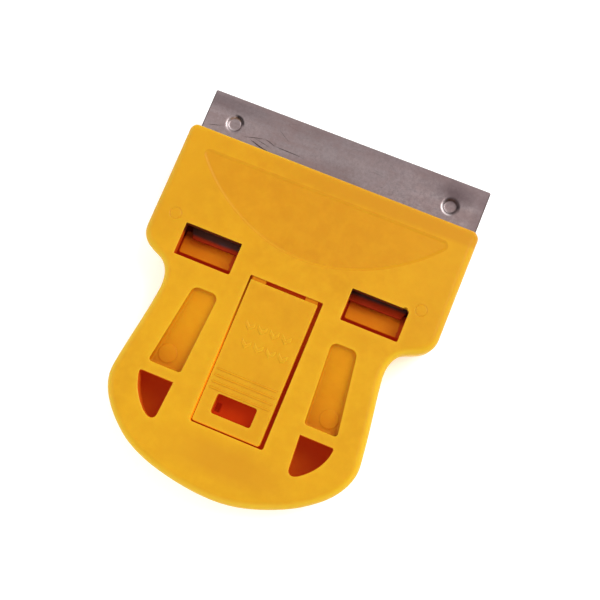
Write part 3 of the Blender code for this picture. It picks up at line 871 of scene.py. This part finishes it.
# ------------------------------------------------------------------ front shell: outlines
GROOVE = rounded([(8.95, -15.08, 0.42), (13.65, -15.08, 0.42), (11.9, -3.5, 1.0),
                  (8.25, -3.5, 0.9)], 8)
TUB = rounded([(8.2, -15.9, 0.4), (14.3, -15.9, 0.4), (12.5, -3.75, 0.4), (7.6, -3.75, 0.4)], 3)
PAD_X, PAD_Y = 11.75, -13.2     # low round pads in the grooves
BOSS_X, BOSS_Y = 11.85, -13.4   # bosses inside both shells


def groove_floor(x, y):
    """The finger groove is deeper towards the tail."""
    t = min(1.0, max(0.0, (-3.5 - y) / 11.5))
    return TOP - 0.72 - 0.55 * t


# shallow lens-shaped recess behind the mouth
half = [(x, 14.8) for x in (0.0, 5.0, 10.0, 16.9)]
half += corner_arc(17.05, 14.12, 0.68, range(12, 119, 12))
LENS = mirror(trace(half, ((13.9, 9.25), (6.9, 5.25), (0.0, 5.25), 40)))

WINDOW = box_ring(8.05, 16.3, -0.4, 4.25, (0.20, 0.25, 0.45, 0.20))
WINDOW_LEFT = box_ring(-16.3, -8.05, -0.4, 4.25, (0.16, 0.32, 0.16, 0.20))
D_HOLE = trace(
    [(8.95, -16.55), (11.4, -16.55), (13.55, -16.55), (13.78, -16.62), (13.85, -16.85)],
    ((13.75, -18.6), (12.7, -20.4), (10.9, -21.7), 14),
    ((10.5, -21.98), (10.1, -22.1), (9.85, -22.0), 5),
    ((9.45, -21.9), (9.32, -21.6), (9.28, -21.2), 5))[::-1]
D_LEFT = [(x - 0.33, y) for x, y in flip(D_HOLE)]
FLAP_OPENING = box_ring(-5.36, 5.2, -20.38, 0.8, (0.3, 0.3, 0.2, 0.2), 5)


def left_rim(x, y):
    """The left D hole's rim is wider at its outer tail side."""
    return 0.19 + 0.22 * (ease(-x, 11.6, 13.4) * ease(-y, 16.9, 18.0))


# ------------------------------------------------------------------ front shell
front = solid("front_shell_moulding", shell_rows(SEAM + SEAM_GAP, TOP))
cut(front, prism(CAVITY, 3.0, TOP - FLOOR_T))
cut(front, box(-SLOT_HALF, SLOT_HALF, 15.0, 19.0, 3.0, 5.2))
add(front, *[prism(ring, 5.2, 6.4) for ring in both(TUB)])
cut(front, *[hole(ring, groove_floor, TOP, rim=0.14, foot=0.40) for ring in both(GROOVE)])
# pad radius and height from the groove's floor
PAD_ROWS = ((1.32, -0.3), (1.32, 0.045), (1.22, 0.085))
add(front, *[[level(disc(side * PAD_X, PAD_Y, radius), groove_floor, rise)
              for radius, rise in PAD_ROWS] for side in (1, -1)])
# inset of the lens outline and height from the face
LENS_ROWS = ((0.30, -0.16), (0.20, -0.150), (0.10, -0.115), (0.0, -0.055), (-0.10, -0.012),
             (-0.22, 0.006), (-0.22, CLEAR))
cut(front, [level(inset(LENS, d) if d else LENS, TOP + rise) for d, rise in LENS_ROWS])
cut(front,
    *[rolled_hole(inset(ring, -0.10), 0.17) for ring in (WINDOW, WINDOW_LEFT)],
    rolled_hole(inset(D_HOLE, -0.12), 0.19),
    rolled_hole(inset(D_LEFT, -0.12), left_rim),
    hole(FLAP_OPENING, HOLE_Z, TOP, rim=0.09))
# a small nick in the right window's corner, then a ring mark near each side
cut(front, hole(disc(15.70, 4.13, 0.32, 24), HOLE_Z, TOP, rim=0.08))
for mark_x in (17.7, -18.2):
    cut(front, ring_groove(mark_x, 4.85, 0.80, 0.13, TOP), closed=True)
# bars at the hinge end of the flap
add(front, box(-4.6, 4.6, 0.15, 2.2, 5.6, 5.9))
add(front, box(-4.5, 4.5, 0.95, 2.1, 5.7, 6.4))
# inner pegs and lengthwise ribs, then bosses
add(front, *[prism(disc(side * 18.0, 4.85, 0.8, 32), 5.15, 6.5) for side in (1, -1)],
    *[box(x - 0.4, x + 0.4, 6.5, 16.3, 5.15, 6.5) for x in (-19.2, -6.5, 6.5, 19.2)])
add(front, *[prism(disc(side * BOSS_X, BOSS_Y, 1.3, 32), 3.7, 5.5) for side in (1, -1)])
finish_mesh(front)


# ------------------------------------------------------------------ which face gets what
def inside_limit(x, y):
    """Depth from the outline beyond which a face belongs to the hollow."""
    if y > 2.6:
        return 0.40
    if y < -8.0:
        return 0.95
    return 0.48 + 0.47 * min(1.0, max(0.0, (-5.0 - y) / 3.0))


INSIDE = inset(OUTLINE, inside_limit)
GROOVE_ZONE = inset(GROOVE, -0.05)
LENS_ZONE = inset(LENS, -0.20)
OPENING_ZONES = [inset(ring, -margin) for ring, margin in (
    (WINDOW, 0.08), (WINDOW_LEFT, 0.08), (D_HOLE, 0.10), (D_LEFT, 0.10), (FLAP_OPENING, 0.07))]
FLAP_ZONE = OPENING_ZONES[-1]
# material slots of both shells; the last is the gap wall (front) or the window floor (rear)
OUTER_SLOT, STIPPLE_SLOT, GROOVE_SLOT, LINER_SLOT, LAST_SLOT = range(5)


def shell_slot(x, y, z):
    ring_mark = abs(abs(x) - 17.95) < 1.4 and abs(y - 4.85) < 1.15
    if TOP - 0.2 < z < TOP - 0.002 and (within(LENS_ZONE, x, y) or ring_mark):
        return STIPPLE_SLOT
    if within(GROOVE_ZONE, abs(x), y) and z > groove_floor(x, y) - 0.02:
        return GROOVE_SLOT if z < TOP - 0.15 else OUTER_SLOT
    # faces of the hollow and the openings' walls take the liner's painted shade and glow
    if 1.2 < z < TOP - 1.3 and within(INSIDE, x, y) and y < MOUTH_Y - 1.0:
        return LINER_SLOT
    if 1.2 < z < TOP - 0.06 and any(within(zone, x, y) for zone in OPENING_ZONES):
        return LINER_SLOT
    return OUTER_SLOT


paint(front, PLASTIC, PLASTIC_STIPPLE, PLASTIC_GROOVE, PLASTIC_LINER, PLASTIC_GAP)
for face, x, y, z in faces_of(front):
    face.material_index = shell_slot(x, y, z)
    # the left and tail walls of the flap's opening take the gap material's painted light and shade
    left_or_tail = x < -5.2 or y < -20.2
    if TOP - FLOOR_T < z < TOP - 0.06 and within(FLAP_ZONE, x, y) and left_or_tail:
        face.material_index = LAST_SLOT

# ------------------------------------------------------------------ rear shell
PLATFORM = box_ring(8.2, 16.6, 0.6, 3.9, 0.3)    # raised floor under each window
PLATFORM_TOP, PLATFORM_EDGE = 3.35, 0.18
# ring marks on the rear face: x, y, radius
REAR_MARKS = ((12.0, 11.0, 1.5), (-12.0, 11.0, 1.5), (11.0, -12.0, 1.5), (-11.0, -12.0, 1.5),
              (0.0, -22.5, 1.2))

rear = solid("rear_shell_moulding", shell_rows(SEAM - SEAM_GAP, 0.0)[::-1])
cut(rear, stack((CAVITY_LOW, FLOOR_T), (CAVITY_LOW, 2.5), (CAVITY, 2.6), (CAVITY, 5.0)))
cut(rear, box(-SLOT_HALF, SLOT_HALF, 15.0, 19.0, 2.75, 5.0))
# bosses, lengthwise ribs and two short posts
add(rear,
    *[stack((disc(side * BOSS_X, BOSS_Y, 1.9, 40), 1.0), (disc(side * BOSS_X, BOSS_Y, 1.8, 40), 3.5))
      for side in (1, -1)],
    *[box(x - 0.4, x + 0.4, 2.4, 16.3, 1.0, 2.8) for x in (-19.2, -6.8, 6.8, 19.2)],
    *mirrored_boxes(2.5, 3.15, -12.7, -11.9, 1.0, 3.45))
for ring in both(PLATFORM):
    add(rear, stack((inset(ring, -0.08), 1.0), (ring, PLATFORM_TOP - PLATFORM_EDGE))
        + rolled_top(ring, PLATFORM_TOP, PLATFORM_EDGE, PLATFORM_EDGE, steps=6))
for x, y, radius in REAR_MARKS:
    cut(rear, ring_groove(x, y, radius, 0.12, 0.0, up=-1), closed=True)
finish_mesh(rear)
paint(rear, PLASTIC, PLASTIC_STIPPLE, PLASTIC_GROOVE, PLASTIC_LINER, PLASTIC_FLOOR)
for face, x, y, z in faces_of(rear):
    face.material_index = shell_slot(x, y, z)
    # platform tops under the windows take the floor's painted light and shadow
    if z > 3.2 and face.normal.z > 0.5 and 8.1 < abs(x) < 16.7 and 0.5 < y < 4.0:
        face.material_index = LAST_SLOT

# ------------------------------------------------------------------ press flap
FLAP = box_ring(-5.13, 4.60, -20.15, 0.3, (0.30, 0.40, 0.15, 0.15))
FLAP_EDGE = 0.22
FLAP_WINDOW = box_ring(-3.2, 2.5, -18.4, -15.6, 0.35)
FLAP_ROUND = disc(-0.15, -7.3, 4.0, 96)    # shallow round recess
RIB_X0, RIB_X1, RIB_HALF, RIB_HEIGHT = -4.72, 4.15, 0.17, 0.11
# chevron rows: y, and the x of each chevron
CHEVRONS = ((-5.7, (-2.75, -1.0, 0.75, 2.5)), (-8.2, (-2.3, -0.55, 1.2, 2.95)))


def grip_rib(y, n=7):
    """A low rounded bar across the flap, with eased ends."""
    rows = []
    for x, share in ((RIB_X0, 0.25), (RIB_X0 + 0.12, 0.8), (RIB_X0 + 0.3, 1.0),
                     (RIB_X1 - 0.3, 1.0), (RIB_X1 - 0.12, 0.8), (RIB_X1, 0.25)):
        w, h = RIB_HALF * share, RIB_HEIGHT * share
        arc = [math.pi * i / (n - 1) for i in range(n)]
        rows.append([(x, y - w, FLAP_TOP - 0.3)]
                    + [(x, y - w * math.cos(a), FLAP_TOP + h * math.sin(a)) for a in arc]
                    + [(x, y + w, FLAP_TOP - 0.3)])
    return rows


def chevron(x, y, half_w=0.66, drop=0.62, thick=0.62):
    """A small raised V that points towards the tail."""
    ring = [(x, y - drop), (x + half_w, y), (x + half_w, y + thick), (x, y - drop + thick),
            (x - half_w, y + thick), (x - half_w, y)]
    return stack((ring, FLAP_TOP - 0.4), (ring, FLAP_TOP - 0.015),
                 (inset(ring, 0.02), FLAP_TOP + 0.055), (inset(ring, 0.09), FLAP_TOP + 0.10))


flap = solid("release_button_moulding", stack((FLAP, TOP - FLOOR_T)) + rolled_top(
    FLAP, FLAP_TOP, FLAP_EDGE * 0.6, FLAP_EDGE, steps=6, first=0))
cut(flap, hole(FLAP_WINDOW, 5.0, FLAP_TOP, rim=0.14))
narrowed = inset(FLAP_ROUND, -0.34)
cut(flap, stack((FLAP_ROUND, FLAP_TOP - 0.026), (narrowed, FLAP_TOP + 0.004),
                (narrowed, FLAP_TOP + 0.5)))
add(flap, *[grip_rib(y) for y in RIBS_Y])
add(flap, *[chevron(x, y) for y, places in CHEVRONS for x in places])
# legs, upper bar, notch in it, lower cross bar and the catch on it
add(flap, *mirrored_boxes(3.45, 4.1, -17.8, -16.0, 2.15, 6.3))
add(flap, box(-3.8, 3.8, -18.7, -15.2, 4.1, 4.55))
cut(flap, box(-3.2, -2.4, -17.9, -16.6, 3.5, 5.0))
add(flap, box(-3.8, 3.8, -17.5, -16.3, 2.15, 2.6))
add(flap, box(-1.0, 1.0, -17.5, -16.3, 2.3, 3.32))
finish_mesh(flap)


def flap_slot(x, y, z):
    # lower parts: the web material's painted shade and glow
    if z < 5.8:
        return 2
    # left and tail sides: the gap material's painted light and shade
    if TOP - FLOOR_T + 0.05 < z < FLAP_TOP - 0.12 and (x < -5.05 or y < -20.08):
        return 4
    # other sides: the inner material's painted shade and glow
    if z < FLAP_TOP - 0.26:
        return 1
    on_rib = z > FLAP_TOP + 0.002 and min(abs(y - rib) for rib in RIBS_Y) < 0.2
    return 3 if on_rib else 0


paint(flap, PLASTIC_BUTTON, PLASTIC_INNER, PLASTIC_WEB, PLASTIC_RIB, PLASTIC_GAP)
for face, x, y, z in faces_of(flap):
    face.material_index = flap_slot(x, y, z)


# ------------------------------------------------------------------ thin webs of the living hinge
def hinge_web(name, x0, x1, steps=8, edge=0.10):
    rows = []
    for i in range(steps + 1):
        t = i / steps
        y = 0.12 + 0.92 * t
        dip = 0.07 * math.sin(math.pi * t)
        top, bottom = TOP - 0.15 - 0.03 * t - dip, TOP - 0.95 + dip
        rows.append([(x0, y, bottom), (x1, y, bottom), (x1, y, top - edge),
                     (x1 - edge, y, top), (x0 + edge, y, top), (x0, y, top - edge)])
    web = solid(name, rows)
    shade(web, angle=30)
    paint(web, PLASTIC_HINGE)
    return web


webs = [hinge_web("hinge_web_left", -5.05, -3.0), hinge_web("hinge_web_right", 2.7, 4.52)]

# ------------------------------------------------------------------ blade carrier
half = [(x, PLATE_FRONT) for x in (0.0, 6.0, 12.0)]
half += corner_arc(PLATE_HALF - 0.22, PLATE_FRONT - 0.22, 0.22, range(0, 91, 15))
half += [(PLATE_HALF, 18.0), (PLATE_HALF, 9.0), (20.3, 8.1), (19.8, 7.4), (19.0, 6.85),
         (17.9, 6.3), (16.8, 5.5), (15.9, 4.4), (15.4, PLATE_REAR), (0.0, PLATE_REAR)]
PLATE = mirror(half)
PLATE_EDGE = 0.12
DIMPLES = (-DIMPLE_X - 0.14, DIMPLE_X - 0.14)
# body under each dimple: radius, z
DIMPLE_BODY = ((0.9, 3.85), (1.15, 3.95), (1.4, 4.3), (1.4, 4.8))
# hollow of each dimple: radius, height from the plate's face
DIMPLE_HOLLOW = (
    (0.55, -0.335), (0.70, -0.335), (0.78, -0.325), (0.85, -0.295), (0.92, -0.24),
    (0.99, -0.17), (1.05, -0.11), (1.11, -0.065), (1.18, -0.035), (1.27, -0.015),
    (1.38, -0.004), (1.50, 0.010), (1.50, 0.4))
# scratches beside the mouth: four control points, half width
SCRATCHES = (
    (((-14.5, 18.95), (-13.4, 19.25), (-12.4, 19.55), (-11.4, 19.70)), 0.070),
    (((-11.6, 19.72), (-10.7, 19.70), (-10.3, 19.35), (-9.7, 19.28)), 0.085),
    (((-9.9, 19.30), (-8.6, 19.18), (-7.2, 19.28), (-5.5, 19.12)), 0.085),
    (((-13.4, 18.95), (-12.4, 18.70), (-11.6, 18.28), (-10.2, 18.24)), 0.125),
    (((-19.9, 18.82), (-19.2, 18.98), (-18.4, 19.22), (-17.7, 19.40)), 0.060),
    (((-12.9, 19.35), (-12.0, 19.15), (-11.0, 19.05), (-10.2, 18.75)), 0.055),
    (((-10.3, 21.85), (-9.6, 21.45), (-8.7, 20.95), (-7.9, 20.35)), 0.040),
    (((3.6, 20.6), (4.4, 20.9), (5.3, 20.9), (6.1, 20.5)), 0.026))


def side_channel(side):
    """The folded side and lip of the carrier, swept along y."""
    section = [(PLATE_HALF - 0.40, PLATE_Z0 + 0.15), (PLATE_HALF, PLATE_Z0 + 0.15),
               (PLATE_HALF, 3.45)]
    for i in range(1, 7):
        a = math.pi / 2 * i / 6
        section.append((PLATE_HALF - 0.45 + 0.45 * math.cos(a), 3.45 - 0.45 * math.sin(a)))
    section += [(PLATE_HALF - 2.6, 3.0), (PLATE_HALF - 2.6, 3.35), (PLATE_HALF - 0.5, 3.35),
                (PLATE_HALF - 0.40, 3.45)]
    return [[(side * x, y, z) for x, z in section] for y in (9.5, 23.3)]


carrier = solid("blade_carrier_plate", stack(
    (inset(PLATE, 0.04), PLATE_Z0), (PLATE, PLATE_Z0 + 0.05), (PLATE, PLATE_Z1 - PLATE_EDGE))
    + rolled_top(PLATE, PLATE_Z1, 0.14, PLATE_EDGE, steps=8))
add(carrier, side_channel(1), side_channel(-1))
add(carrier, *[stack(*[(disc(x, DIMPLE_Y, radius), z) for radius, z in DIMPLE_BODY])
               for x in DIMPLES])
for dimple in DIMPLES:
    cut(carrier, stack(*[(disc(dimple, DIMPLE_Y, radius, 64), PLATE_Z1 + rise)
                         for radius, rise in DIMPLE_HOLLOW]))
cut(carrier, *[prism(disc(side * HOLE_X, HOLE_Y, 0.7, 32), 4.0, 5.6) for side in (1, -1)])
# a fine line behind the front edge
cut(carrier, scratch([(-19.9 + 39.8 * i / 30, 23.07) for i in range(31)], 0.05, 0.006))
for points, width in SCRATCHES:
    cut(carrier, scratch([points[0]] + bezier(*points, 20), width, 0.024))
finish_mesh(carrier)
paint(carrier, STEEL, SCRATCHED)
for face, x, y, z in faces_of(carrier):
    sunk = PLATE_Z1 - 0.030 < z < PLATE_Z1 - 0.001 and face.normal.z > 0.5
    small = face.area / MM ** 2 < 0.2
    clear = min(math.hypot(x - dimple, y - DIMPLE_Y) for dimple in DIMPLES) > 1.6
    face.material_index = 1 if sunk and small and 18.0 < y < 22.2 and clear else 0

# ------------------------------------------------------------------ blade
BLADE_Z, BLADE_HALF = 4.1, 19.5
# y, half thickness; the edge is ground at the mouth
BLADE_SECTION = ((9.40, 0.09), (9.43, 0.12), (22.90, 0.12), (22.96, 0.115), (23.78, 0.042),
                 (23.84, 0.036), (24.07, 0.014), (24.10, 0.012))
NOTCH = box_ring(14.4, 21.0, 18.4, 22.0, (1.6, 0, 0, 1.6), 8)

blade = solid("razor_blade_ground", [
    [(-BLADE_HALF, y, BLADE_Z - h), (BLADE_HALF, y, BLADE_Z - h),
     (BLADE_HALF, y, BLADE_Z + h), (-BLADE_HALF, y, BLADE_Z + h)] for y, h in BLADE_SECTION])
for ring in both(NOTCH):
    cut(blade, prism(ring, 3.0, 5.0))
finish_mesh(blade, angle=3)
paint(blade, BLADE)


# ------------------------------------------------------------------ the blade's folded spine
def fold_arc(y, radius, start, end, n):
    """Arc of the fold about the blade's plane, as y, z; angles are from +y towards +z."""
    angles = [math.radians(start + (end - start) * i / n) for i in range(n + 1)]
    return [(y + radius * math.cos(a), BLADE_Z + radius * math.sin(a)) for a in angles]


FOLD_OUTER, FOLD_INNER = 0.40, 0.20
fold = [(12.36, BLADE_Z + FOLD_OUTER)] + fold_arc(8.60, FOLD_OUTER, 90, 270, 10)
fold += [(12.36, BLADE_Z - FOLD_OUTER), (12.40, BLADE_Z - 0.36), (12.40, BLADE_Z - 0.23),
         (12.37, BLADE_Z - FOLD_INNER)]
fold += fold_arc(9.30, FOLD_INNER, 270, 90, 8)
fold += [(12.37, BLADE_Z + FOLD_INNER), (12.40, BLADE_Z + 0.23), (12.40, BLADE_Z + 0.36)]
spine = solid("blade_spine_fold", [[(x, y, z) for y, z in fold] for x in (-BLADE_HALF, BLADE_HALF)])
# crimps in the spine's upper face
cut(spine, *[prism(box_ring(x - 1.2, x + 1.2, 10.3, 11.3, 0.3, 4), BLADE_Z + 0.34, 5.0)
             for x in (-14.0, 0.0, 14.0)])
finish_mesh(spine, angle=25)
paint(spine, SPINE)

# ------------------------------------------------------------------ latch leaf
LEAF_T, LEAF_Z, LEAF_HALF, LEAF_EDGE = 0.35, 3.175, 2.2, 0.05
# centre line as y, z: from under the carrier down to the rear shell and back to the tail
LEAF_PATH = trace([(7.8, 4.325), (4.0, 4.325)], ((3.5, 4.325), (3.2, 4.23), (2.9, 4.09), 6))
LEAF_PATH += bezier((1.5, 3.41), (1.2, 3.27), (0.9, LEAF_Z), (0.4, LEAF_Z), 6)
LEAF_PATH += [(-8.0, LEAF_Z), (-15.2, LEAF_Z), (-16.0, LEAF_Z)]


def leaf_rows():
    rows = []
    last = len(LEAF_PATH) - 1
    for i, (y, z) in enumerate(LEAF_PATH):
        back, ahead = Vector(LEAF_PATH[max(0, i - 1)]), Vector(LEAF_PATH[min(last, i + 1)])
        along = (ahead - back).normalized()
        up = Vector((along.y, -along.x)) * (LEAF_T / 2)
        if up.y < 0:
            up = -up
        w = LEAF_HALF - (0.35 if i == last else 0.0)
        shoulder = 1 - 2 * LEAF_EDGE / LEAF_T
        low = (y - up.x, z - up.y)
        side = (y + up.x * shoulder, z + up.y * shoulder)
        top = (y + up.x, z + up.y)
        rows.append([(-w, *low), (w, *low), (w, *side), (w - LEAF_EDGE, *top),
                     (LEAF_EDGE - w, *top), (-w, *side)])
    return rows


leaf = solid("latch_leaf_spring", leaf_rows())
LEAF_TOP = LEAF_Z + LEAF_T / 2
for side, x0, x1, radii in ((1, 1.8, 3.1, (0.0, 0.3, 0.3, 0.0)),
                            (-1, -3.1, -1.8, (0.3, 0.0, 0.0, 0.3))):
    ear = box_ring(x0, x1, -14.1, -13.0, radii, 5)
    add(leaf, stack((ear, LEAF_Z - LEAF_T / 2 + 0.001), (ear, LEAF_TOP - 0.04),
                    (inset(ear, 0.03), LEAF_TOP - 0.001)))
    cut(leaf, prism(disc(HOLE_X * side, HOLE_Y, 0.7, 40), 3.0, 5.6))
cut(leaf, prism(box_ring(-1.3, 1.3, -11.3, -9.4, 0.35), 2.0, 4.0))
finish_mesh(leaf, angle=20)
paint(leaf, SPRING)

# ------------------------------------------------------------------ rivets
# radius, z
RIVET_PROFILE = (
    (0.70, 3.80), (0.84, 3.83), (0.92, 3.89), (0.95, 3.96), (0.95, 4.08), (0.5, 4.08),
    (0.5, 5.08), (0.95, 5.08), (0.95, 5.14), (0.92, 5.22), (0.84, 5.29), (0.70, 5.345),
    (0.50, 5.38), (0.26, 5.398))


def rivet(name, x):
    ob = solid(name, stack(*[(disc(x, HOLE_Y, radius, 40), z) for radius, z in RIVET_PROFILE]))
    finish_mesh(ob, angle=28)
    paint(ob, RIVET)
    return ob


rivet_right = rivet("leaf_rivet_right_head", HOLE_X)
rivet_left = rivet("leaf_rivet_left_head", -HOLE_X)

# the loaded carrier sits with a little play in its slot
PLAY_ANGLE, PLAY_X, PLAY_Y, PIVOT_Y = math.radians(0.32), 0.16, -0.05, 13.0
play = (Matrix.Translation((PLAY_X * MM, at_y(PIVOT_Y + PLAY_Y), 0))
        @ Matrix.Rotation(PLAY_ANGLE, 4, "Z") @ Matrix.Translation((0, -at_y(PIVOT_Y), 0)))
for ob in (carrier, blade, spine):
    ob.data.transform(play)

# ------------------------------------------------------------------ rides
# object, moving body, piece it replaces, material slot
for piece, body, node, slot in (
        (front, "handle", "front_shell", "shell_plastic"),
        (rear, "handle", "rear_shell", "shell_plastic"),
        (flap, "button", "release_button", "button_plastic"),
        (carrier, "blade_carriage", "blade_carrier", "carrier_steel"),
        (blade, "blade_carriage", "razor_blade", "blade_steel"),
        (spine, "blade_carriage", "blade_spine", "spine_steel"),
        (leaf, "blade_carriage", "latch_leaf", "spring_steel"),
        (rivet_right, "blade_carriage", "leaf_rivet_right", "rivet_steel"),
        (rivet_left, "blade_carriage", "leaf_rivet_left", "rivet_steel")):
    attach(piece, body)
    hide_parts(node)
for web in webs:
    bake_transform(web)

# ------------------------------------------------------------------ floor
bm = bmesh.new()
bmesh.ops.create_grid(bm, x_segments=2, y_segments=2, size=1.5)
bmesh.ops.recalc_face_normals(bm, faces=bm.faces)
floor = mesh_object("floor", bm)
floor.location.z = -0.00002
net = Graph(bpy.data.materials.new("pale_floor"))
net.feed(net.shader, {
    "Base Color": net.mix(net.span(net.noise(scale=14, roughness=0.5)),
                          (0.965, 0.965, 0.965), (0.95, 0.95, 0.952)),
    "Roughness": 0.7,
    "Specular IOR Level": 0.1,
    "Emission Color": (1.0, 1.0, 1.0),
    "Emission Strength": 0.30})
paint(floor, net.owner)

# ------------------------------------------------------------------ world
# a soft tent of light, brighter on the key side; the camera sees an even pale grey
KEY_SIDE = Vector((0.62, 0.62, 0.48)).normalized()
world = bpy.data.worlds.new("studio")
bpy.context.scene.world = world
net = Graph(world, shader="Background")
towards_key = net.vector("DOT_PRODUCT", net.coords.outputs["Generated"], KEY_SIDE, output="Value")
tent = net.span(towards_key, over=(-0.8, 0.95), to=(0.30, 0.66))
seen = net.add("LightPath", {}).outputs["Is Camera Ray"]
grey = net.add("Mix", {"Factor": seen, "A": tent, "B": 0.90}, data_type="FLOAT").outputs["Result"]
even = net.add("CombineColor", {"Red": grey, "Green": grey, "Blue": grey}).outputs["Color"]
net.feed(net.shader, {"Color": even, "Strength": 1.0})


# ------------------------------------------------------------------ lights
def disk_light(name, place, size, power, colour=(1, 1, 1)):
    """A round area light aimed at the frame's origin."""
    light = bpy.data.lights.new(name, "AREA")
    light.shape = "DISK"
    light.size = size
    light.energy = power
    light.color = colour
    ob = bpy.data.objects.new(name, light)
    bpy.context.scene.collection.objects.link(ob)
    ob.location = place
    ob.rotation_euler = (-Vector(place)).to_track_quat("-Z", "Y").to_euler()


disk_light("key", place=(0.24, 0.28, 0.40), size=0.42, power=2.3, colour=(1.0, 0.985, 0.97))
disk_light("fill", place=(-0.34, -0.06, 0.26), size=0.40, power=0.7, colour=(0.97, 0.985, 1.0))
disk_light("low", place=(0.05, -0.36, 0.22), size=0.34, power=0.6)

# ------------------------------------------------------------------ camera
# It looks down on the tool. TURN_* take the drawing to view axes (x right, y down, z ahead);
# TOOL_IN_VIEW is where the drawing's origin on the front face lies in them, in mm.
TURN_X, TURN_Y, TURN_Z = (math.radians(a) for a in (-9.636, 2.116, 22.412))
TOOL_IN_VIEW = Vector((-1.992, -0.735, 161.304))
FLIP_YZ = Matrix.Diagonal((1, -1, -1))
to_view = (Matrix.Rotation(TURN_X, 3, "X") @ Matrix.Rotation(TURN_Y, 3, "Y")
           @ Matrix.Rotation(TURN_Z, 3, "Z") @ FLIP_YZ)
eye = -(to_view.transposed() @ TOOL_IN_VIEW)
lens = bpy.data.cameras.new("camera")
lens.sensor_width = 36.0
lens.lens = 72.0
lens.clip_start = 0.005
lens.clip_end = 10.0
camera = bpy.data.objects.new("camera", lens)
bpy.context.scene.collection.objects.link(camera)
pose = (to_view.transposed() @ FLIP_YZ).to_4x4()
pose.translation = Vector((eye.x * MM, at_y(eye.y), (eye.z + TOP) * MM))
camera.matrix_world = pose
bpy.context.scene.camera = camera
bpy.context.scene.view_settings.view_transform = "Standard"
bpy.context.scene.view_settings.look = "None"
bpy.context.scene.cycles.use_denoising = True
